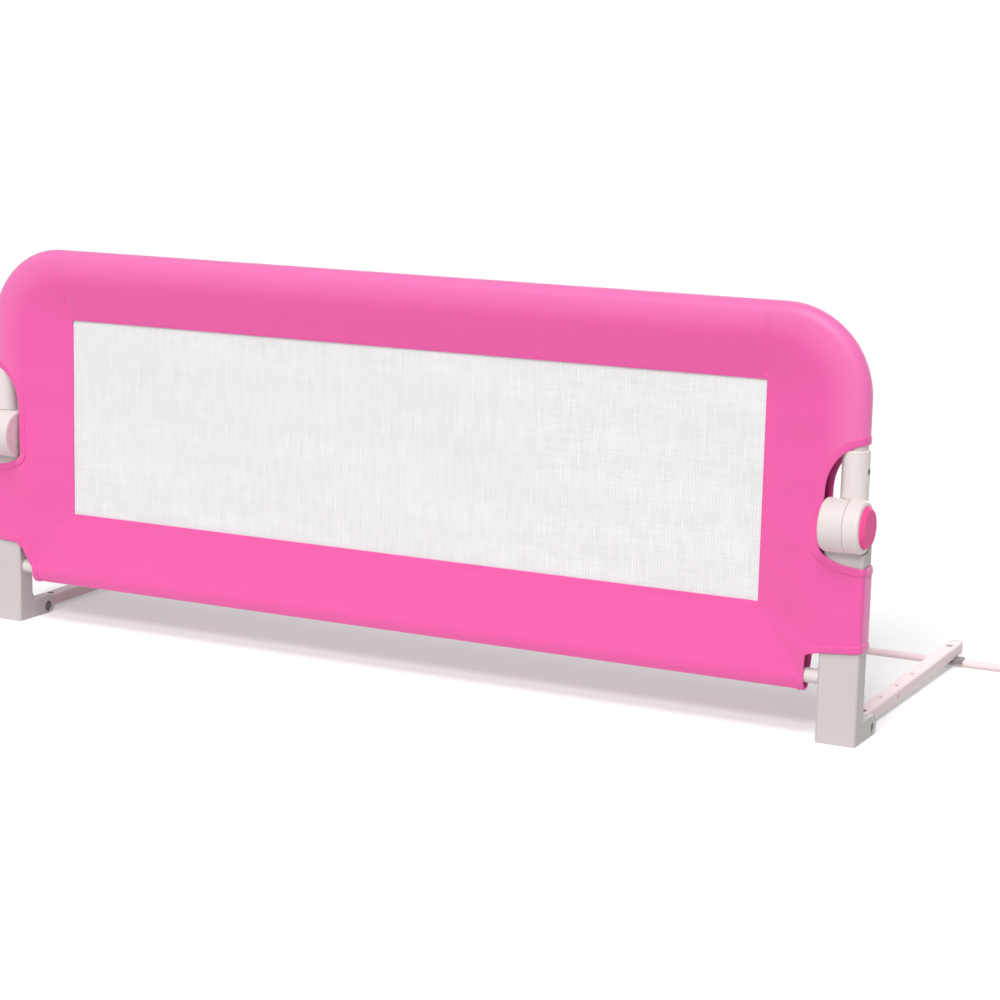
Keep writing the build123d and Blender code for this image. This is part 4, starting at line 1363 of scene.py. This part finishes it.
@dataclass
class Stitching:
    """Row of sewn stitches, each a short thread that dips into the cloth at both ends."""

    pitch: float = 0.0034
    length: float = 0.0025
    radius: float = 0.00032
    hem_inset: float = 0.0017
    window_inset: float = 0.0042
    steps: int = 5
    sides: int = 6

    def threads(
        self, place: np.ndarray, along: np.ndarray, across: np.ndarray, normal: np.ndarray
    ) -> tuple[np.ndarray, np.ndarray]:
        """Copy one stitch to each frame.

        A stitch is a many-sided thread. Its middle rises by a cosine, and its ends shrink.

        Args:
            place: Middles of the stitches.
            along: Directions of the seam.
            across: Directions across the seam.
            normal: Outward directions.

        Returns:
            Points and faces.
        """
        share = np.linspace(-1, 1, self.steps)
        angle = np.linspace(0, 2 * math.pi, self.sides, endpoint=False)
        arch = np.cos(share * math.pi / 2)
        thick = self.radius * (0.55 + 0.45 * arch)
        lift = self.radius * (arch - 0.35)
        local = np.stack([
            np.broadcast_to(share[:, None] * self.length / 2, (self.steps, self.sides)),
            thick[:, None] * np.cos(angle)[None, :],
            thick[:, None] * np.sin(angle)[None, :] + lift[:, None],
        ], -1).reshape(-1, 3)
        frames = np.stack([along, across, normal], 1)
        points = place[:, None, :] + np.einsum("kj,njc->nkc", local, frames)
        quads = grid_quads(self.steps, self.sides, close_columns=True)
        first = len(local) * np.arange(len(place))
        return points.reshape(-1, 3), (quads[None] + first[:, None, None]).reshape(-1, 4)

    def piece(self, name: str, points: np.ndarray, faces: np.ndarray) -> bpy.types.Object:
        """Make a row of stitches, whose cloth places are their X and Z."""
        return make_object(name, points, faces, points[:, [0, 2]][faces.ravel()])

    def along_hem(self, edge: EdgeLoop, hem: Hem) -> bpy.types.Object:
        """Sew a row of stitches near the inner border of a hem.

        Args:
            edge: Free edge of the cover.
            hem: The hem along it.

        Returns:
            The stitches.
        """
        place, along, into, normal = edge.frame(int(line_length(edge.points) / self.pitch))
        seam = place + into * (hem.width - self.hem_inset) + normal * hem.rise
        return self.piece(f"stitches_{edge.name}", *self.threads(seam, along, into, normal))

    def round_window(self, cover: Cover, layer: Layer) -> bpy.types.Object:
        """Sew a row of stitches round the window on one layer.

        Args:
            cover: The cover.
            layer: Face of the cover.

        Returns:
            The stitches.
        """
        line = cover.window_seam(layer, self.window_inset)
        place = spread_evenly(line, int(line_length(line) / self.pitch), closed=True)
        along = ring_directions(place)
        normal = np.tile((0.0, float(layer.value), 0.0), (len(place), 1))
        threads = self.threads(place, along, np.cross(normal, along), normal)
        return self.piece(f"stitches_window_{layer.name.lower()}", *threads)


@dataclass
class WindowNet:
    """Woven net in the window, held between the two layers of the cover."""

    tuck: float = 0.0035
    thickness: float = 0.0003
    columns: int = 240
    rows: int = 66
    side_fade: float = 0.03
    level_fade: float = 0.12

    def build(self, cover: Cover) -> bpy.types.Object:
        """Work out the net: a flat rectangle with slow waves that fade towards its edges.

        Args:
            cover: The cover that holds it.

        Returns:
            The net.
        """
        half = cover.window_half + self.tuck
        low, high = cover.window_bottom - self.tuck, cover.window_top + self.tuck
        places = np.linspace(-half, half, self.columns), np.linspace(low, high, self.rows)
        x, z = np.meshgrid(*places, indexing="ij")
        across, up = (x + half) / (2 * half), (z - low) / (high - low)
        fade = smooth_step(np.minimum(across, 1 - across) / self.side_fade)
        fade = fade * smooth_step(np.minimum(up, 1 - up) / self.level_fade)
        waves = 0.0005 * np.sin(19 * x + 31 * z) + 0.0004 * np.sin(43 * x - 13 * z) + 0.0002 * np.sin(140 * z)
        points = np.stack([x, RAIL_Y + fade * waves, z], -1)
        quads = grid_quads(self.columns, self.rows)
        flat = points[:, :, [0, 2]].reshape(-1, 2)[quads.ravel()]
        piece = make_object("window_net", points.reshape(-1, 3), quads, flat)
        thicken(piece, self.thickness, 0.0)
        return piece


@dataclass
class CoilSpring:
    """Return spring behind a lock ring. The real one shortens as the ring comes in; this one keeps
    the length of its node's box.
    """

    turns: float = 4.5
    wire_radius: float = 0.00065
    end_share: float = 0.05
    steps_per_turn: int = 40
    sides: int = 10

    def build(self, name: str, low: Vector, high: Vector) -> bpy.types.Object:
        """Wind the wire inside the box of its node.

        The wire's middle is a helix about X. Its section is a circle across the helix, in the plane of
        the outward direction and the direction across both. The ends are drawn almost to a point.

        Args:
            name: Name of the piece.
            low: Lowest corner of the box.
            high: Highest corner of the box.

        Returns:
            The spring.
        """
        middle = (low + high) / 2
        radius = (high.z - low.z) / 2 - self.wire_radius
        count = int(self.turns * self.steps_per_turn) + 1
        angle = np.linspace(0, 2 * math.pi * self.turns, count)
        x = np.linspace(low.x + self.wire_radius, high.x - self.wire_radius, count)
        out = np.column_stack([0 * angle, np.cos(angle), np.sin(angle)])
        place = radius * out + np.column_stack([x, np.full(count, middle.y), np.full(count, middle.z)])
        along = unit(np.gradient(place, axis=0))
        across = np.cross(along, out)
        around = np.linspace(0, 2 * math.pi, self.sides, endpoint=False)
        thick = np.full(count, self.wire_radius)
        thick[[0, -1]] = self.wire_radius * self.end_share
        section = (
            out[:, None, :] * np.cos(around)[None, :, None]
            + across[:, None, :] * np.sin(around)[None, :, None]
        )
        points = place[:, None, :] + thick[:, None, None] * section
        quads = grid_quads(count, self.sides, close_columns=True)
        return make_object(name, points.reshape(-1, 3), quads)


@dataclass
class RecessShadeCross:
    """Cross recess of a screw head, as a shallow dark cross: painted shade of the recess."""

    arm: float = 0.0017
    half_width: float = 0.00042
    rise: float = 0.00008

    def build(self, name: str, centre: np.ndarray, axis: tuple) -> bpy.types.Object:
        """Place the cross on a screw head.

        The outline has twelve corners: each quarter turn repeats the two ends of one bar and the inner
        corner. It is drawn a little below the surface and a little above it, and closed with a cap.

        Args:
            name: Name of the piece.
            centre: Middle of the head's face.
            axis: Level direction that the head faces.

        Returns:
            The cross.
        """
        wide, arm = self.half_width, self.arm
        corner = np.array([(arm, -wide), (arm, wide), (wide, wide)])
        quarters = np.arange(4) * math.pi / 2
        turns = [np.array([(math.cos(a), math.sin(a)), (-math.sin(a), math.cos(a))]) for a in quarters]
        outline = np.vstack([corner @ turn for turn in turns])
        normal = np.array(axis)
        side = np.cross(normal, (0.0, 0.0, 1.0))
        up = np.cross(normal, side)
        level = centre + outline[:, :1] * side + outline[:, 1:] * up
        lift = normal * self.rise
        points = np.vstack([level - lift, level + lift, centre + lift])
        count = len(outline)
        walls = grid_quads(2, count, close_columns=True)[:, [0, 3, 2, 1]]
        ring = count + np.arange(count)
        cap = np.column_stack([ring, np.roll(ring, -1), np.full(count, 2 * count)])
        return make_object(name, points, walls.tolist() + cap.tolist(), smooth=False)


@dataclass(frozen=True)
class Lamp:
    """Wide, distant studio lamp.

    Travel is the direction of its light, spread the angle in degrees that it fills, which softens its
    shadows, and strength the light that reaches a facing surface, in watts per square metre.
    """

    name: str
    travel: tuple[float, float, float]
    spread: float
    strength: float
    distance: float = 2.0

    def build(self) -> None:
        """Hang the lamp."""
        data = bpy.data.lights.new(self.name, "SUN")
        data.angle = math.radians(self.spread)
        data.energy = self.strength
        lamp = add_object(self.name, data)
        lamp.location = -self.distance * Vector(self.travel)
        lamp.rotation_euler = Vector(self.travel).to_track_quat("-Z", "Y").to_euler()


LAMPS = (
    Lamp("overhead", (-0.10, 0.45, -0.89), spread=20, strength=1.28),
    Lamp("front", (-0.12, 0.78, -0.62), spread=14, strength=1.34),
    Lamp("behind", (0.15, -0.97, -0.20), spread=50, strength=0.80),
)


@dataclass
class Studio:
    """Plain floor, soft light and the camera."""

    sensor_width: float = 36.0
    photo_pixels: int = 1000
    focal_pixels: float = 2486.82
    azimuth: float = math.radians(26.7295)
    elevation: float = math.radians(10.2103)
    roll: float = math.radians(1.3812)
    place: tuple[float, float, float] = (1.21863, -2.35272, 0.63481)
    floor_half: float = 9.0
    floor_drop: float = 0.0003
    floor_shade: float = 0.83
    floor_roughness: float = 0.9
    floor_glow: float = 0.30
    room_light: float = 0.20

    def camera(self) -> None:
        """Place the camera at the photograph's viewing angle."""
        data = bpy.data.cameras.new("camera")
        data.sensor_width = self.sensor_width
        data.lens = self.focal_pixels / self.photo_pixels * self.sensor_width
        level, down = math.cos(self.elevation), -math.sin(self.elevation)
        forward, aside = math.cos(self.azimuth), math.sin(self.azimuth)
        ahead = Vector((-aside * level, forward * level, down))
        right = Vector((forward, aside, 0))
        up = right.cross(ahead)
        turned = right * math.cos(self.roll) + up * math.sin(self.roll)
        upright = up * math.cos(self.roll) - right * math.sin(self.roll)
        rotation = Matrix((turned, upright, -ahead)).transposed()
        eye = add_object("camera", data)
        eye.matrix_world = Matrix.Translation(self.place) @ rotation.to_4x4()
        bpy.context.scene.camera = eye

    def seen_directly(self, graph: Graph) -> bpy.types.NodeSocket:
        """Mask of rays that look at the stage: from the camera, from a reflection or through something clear.

        Args:
            graph: Graph of a material or of the room.

        Returns:
            One for such rays and zero for plain light.
        """
        path = graph.node("ShaderNodeLightPath")
        seen = graph.math("MAXIMUM", path.outputs["Is Camera Ray"], path.outputs["Is Glossy Ray"])
        return graph.math("MAXIMUM", seen, path.outputs["Is Transmission Ray"])

    def floor(self) -> None:
        """Lay a pale floor that keeps the shadows."""
        half, level = self.floor_half, -self.floor_drop
        corners = [(-half, -half, level), (half, -half, level), (half, half, level), (-half, half, level)]
        piece = make_object("floor", np.array(corners), [range(4)])
        made, graph, shader = start_material("pale_floor")
        shader.inputs["Base Color"].default_value = (*[self.floor_shade] * 3, 1)
        shader.inputs["Roughness"].default_value = self.floor_roughness
        shader.inputs["Specular IOR Level"].default_value = 0.0
        shader.inputs["Emission Color"].default_value = (1, 1, 1, 1)
        glow = graph.math("MULTIPLY", self.seen_directly(graph), self.floor_glow)
        graph.feed(shader.inputs["Emission Strength"], glow)
        piece.data.materials.append(made)

    def world(self) -> None:
        """Light the room evenly, with a white background behind the floor."""
        world = bpy.data.worlds.new("studio")
        bpy.context.scene.world = world
        world.use_nodes = True
        graph = Graph(world.node_tree)
        sky = world.node_tree.nodes["Background"]
        seen, low = self.seen_directly(graph), self.room_light
        strength = graph.math("MULTIPLY_ADD", seen, 1 - low, low)
        graph.feed(sky.inputs["Color"], (1.0, 1.0, 1.0, 1.0))
        graph.feed(sky.inputs["Strength"], strength)

    def build(self) -> None:
        """Set the whole stage."""
        self.camera()
        self.floor()
        self.world()
        for lamp in LAMPS:
            lamp.build()
        bpy.context.scene.view_settings.view_transform = "Standard"


@dataclass
class BedRail:
    """The whole dressed rail."""

    frame: dict
    groups: dict = field(default_factory=dict)
    materials: dict = field(default_factory=dict)
    fold_start: float = 0.196
    fold_end: float = 0.224

    def prepare(self) -> None:
        """Build the shared node groups and the materials."""
        self.groups = {"grain": grain_group(), "yarns": yarn_group()}
        for finish in (*FINISHES, COVER_CLOTH, THREAD, NET_CLOTH):
            self.materials[finish.name] = finish.material(self.groups)

    def dress_frame(self) -> None:
        """Give every node of the construction frame its finish."""
        by_slot = {finish.slot: finish for finish in (*FINISHES, COVER_CLOTH, NET_CLOTH)}
        slots = {row["node"]: row["material_slot"] for row in self.frame["record"]["subparts"]}
        for name, node in self.frame["nodes"].items():
            finish = by_slot[slots[name]]
            node.data.materials.clear()
            node.data.materials.append(self.materials[finish.name])
            LOG.info("%s dressed as %s", name, finish.name)

    def paint(self, piece: bpy.types.Object, finish: Finish | ClothFinish) -> None:
        """Give a new piece its finish.

        Args:
            piece: The new piece.
            finish: Its finish.
        """
        piece.data.materials.append(self.materials[finish.name])
        LOG.info("%s built in %s", piece.name, finish.name)

    def fold_with_rail(self, piece: bpy.types.Object) -> None:
        """Bake a soft piece's place into its points."""
        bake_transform(piece)

    def build_cover(self) -> None:
        """Sew the cover with its hems, stitches and net."""
        sizes, hem, thread = Cover(), Hem(), Stitching()
        cover, edges = sizes.build()
        self.paint(cover, COVER_CLOTH)
        trims = []
        for edge in edges:
            band, seam = hem.build(edge), thread.along_hem(edge, hem)
            self.paint(band, COVER_CLOTH)
            self.paint(seam, THREAD)
            for piece in (band, seam):
                if edge.name.endswith("hinge"):
                    self.fold_with_rail(piece)
                else:
                    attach(piece, "base")
            trims += [band, seam]
        for layer in Layer:
            seam = thread.round_window(sizes, layer)
            self.paint(seam, THREAD)
            self.fold_with_rail(seam)
            trims.append(seam)
        net = WindowNet().build(sizes)
        self.paint(net, NET_CLOTH)
        self.fold_with_rail(cover)
        self.fold_with_rail(net)
        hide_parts("cover_upper", "cover_lower")
        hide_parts("window_mesh_upper", "window_mesh_lower")

    def build_springs(self) -> None:
        """Wind the return springs, which are pressed between the legs and the lock rings."""
        wire = next(finish for finish in FINISHES if finish.name == "spring_wire")
        for side in Side:
            label = side.name.lower()
            low, high = (Vector(corner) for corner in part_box(f"{label}_return_spring"))
            spring = CoilSpring().build(f"{label}_coil", low, high)
            self.paint(spring, wire)
            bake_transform(spring)
            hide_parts(f"{label}_return_spring")

    def build_screws(self) -> None:
        """Lay dark crosses on the heads of the screws that show, as painted shade of their cross recesses."""
        cross = RecessShadeCross()
        for side in Side:
            sign, label = side.value, side.name.lower()
            heads = (
                (f"{label}_pivot_screw", "base", True),
                ("socket_screws", "guard", True),
                ("cross_tube_screws", "base", False),
            )
            for node, body, faces_aside in heads:
                low, high = np.array(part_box(node))
                middle = (low + high) / 2
                if faces_aside:
                    axis = (float(sign), 0.0, 0.0)
                    middle[0] = high[0] if side is Side.RIGHT else low[0]
                else:
                    axis = (0.0, 1.0, 0.0)
                    middle[:2] = sign * LEG_X, high[1]
                name = f"recess_{label}_{node.replace(label + '_', '')}"
                piece = cross.build(name, middle, axis)
                # The cross takes the dark nylon colour as painted shade of the recess.
                piece.data.materials.append(self.materials["lock_nylon"])
                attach(piece, body)
                LOG.info("%s cut in %s", piece.name, node)


def main() -> None:
    """Load the frame, dress it and set the stage."""
    logging.basicConfig(level=logging.INFO, format="%(name)s: %(message)s")
    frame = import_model()
    rail = BedRail(frame)
    rail.prepare()
    rail.dress_frame()
    rail.build_cover()
    rail.build_springs()
    rail.build_screws()
    Studio().build()


if __name__ == "__main__":
    main()
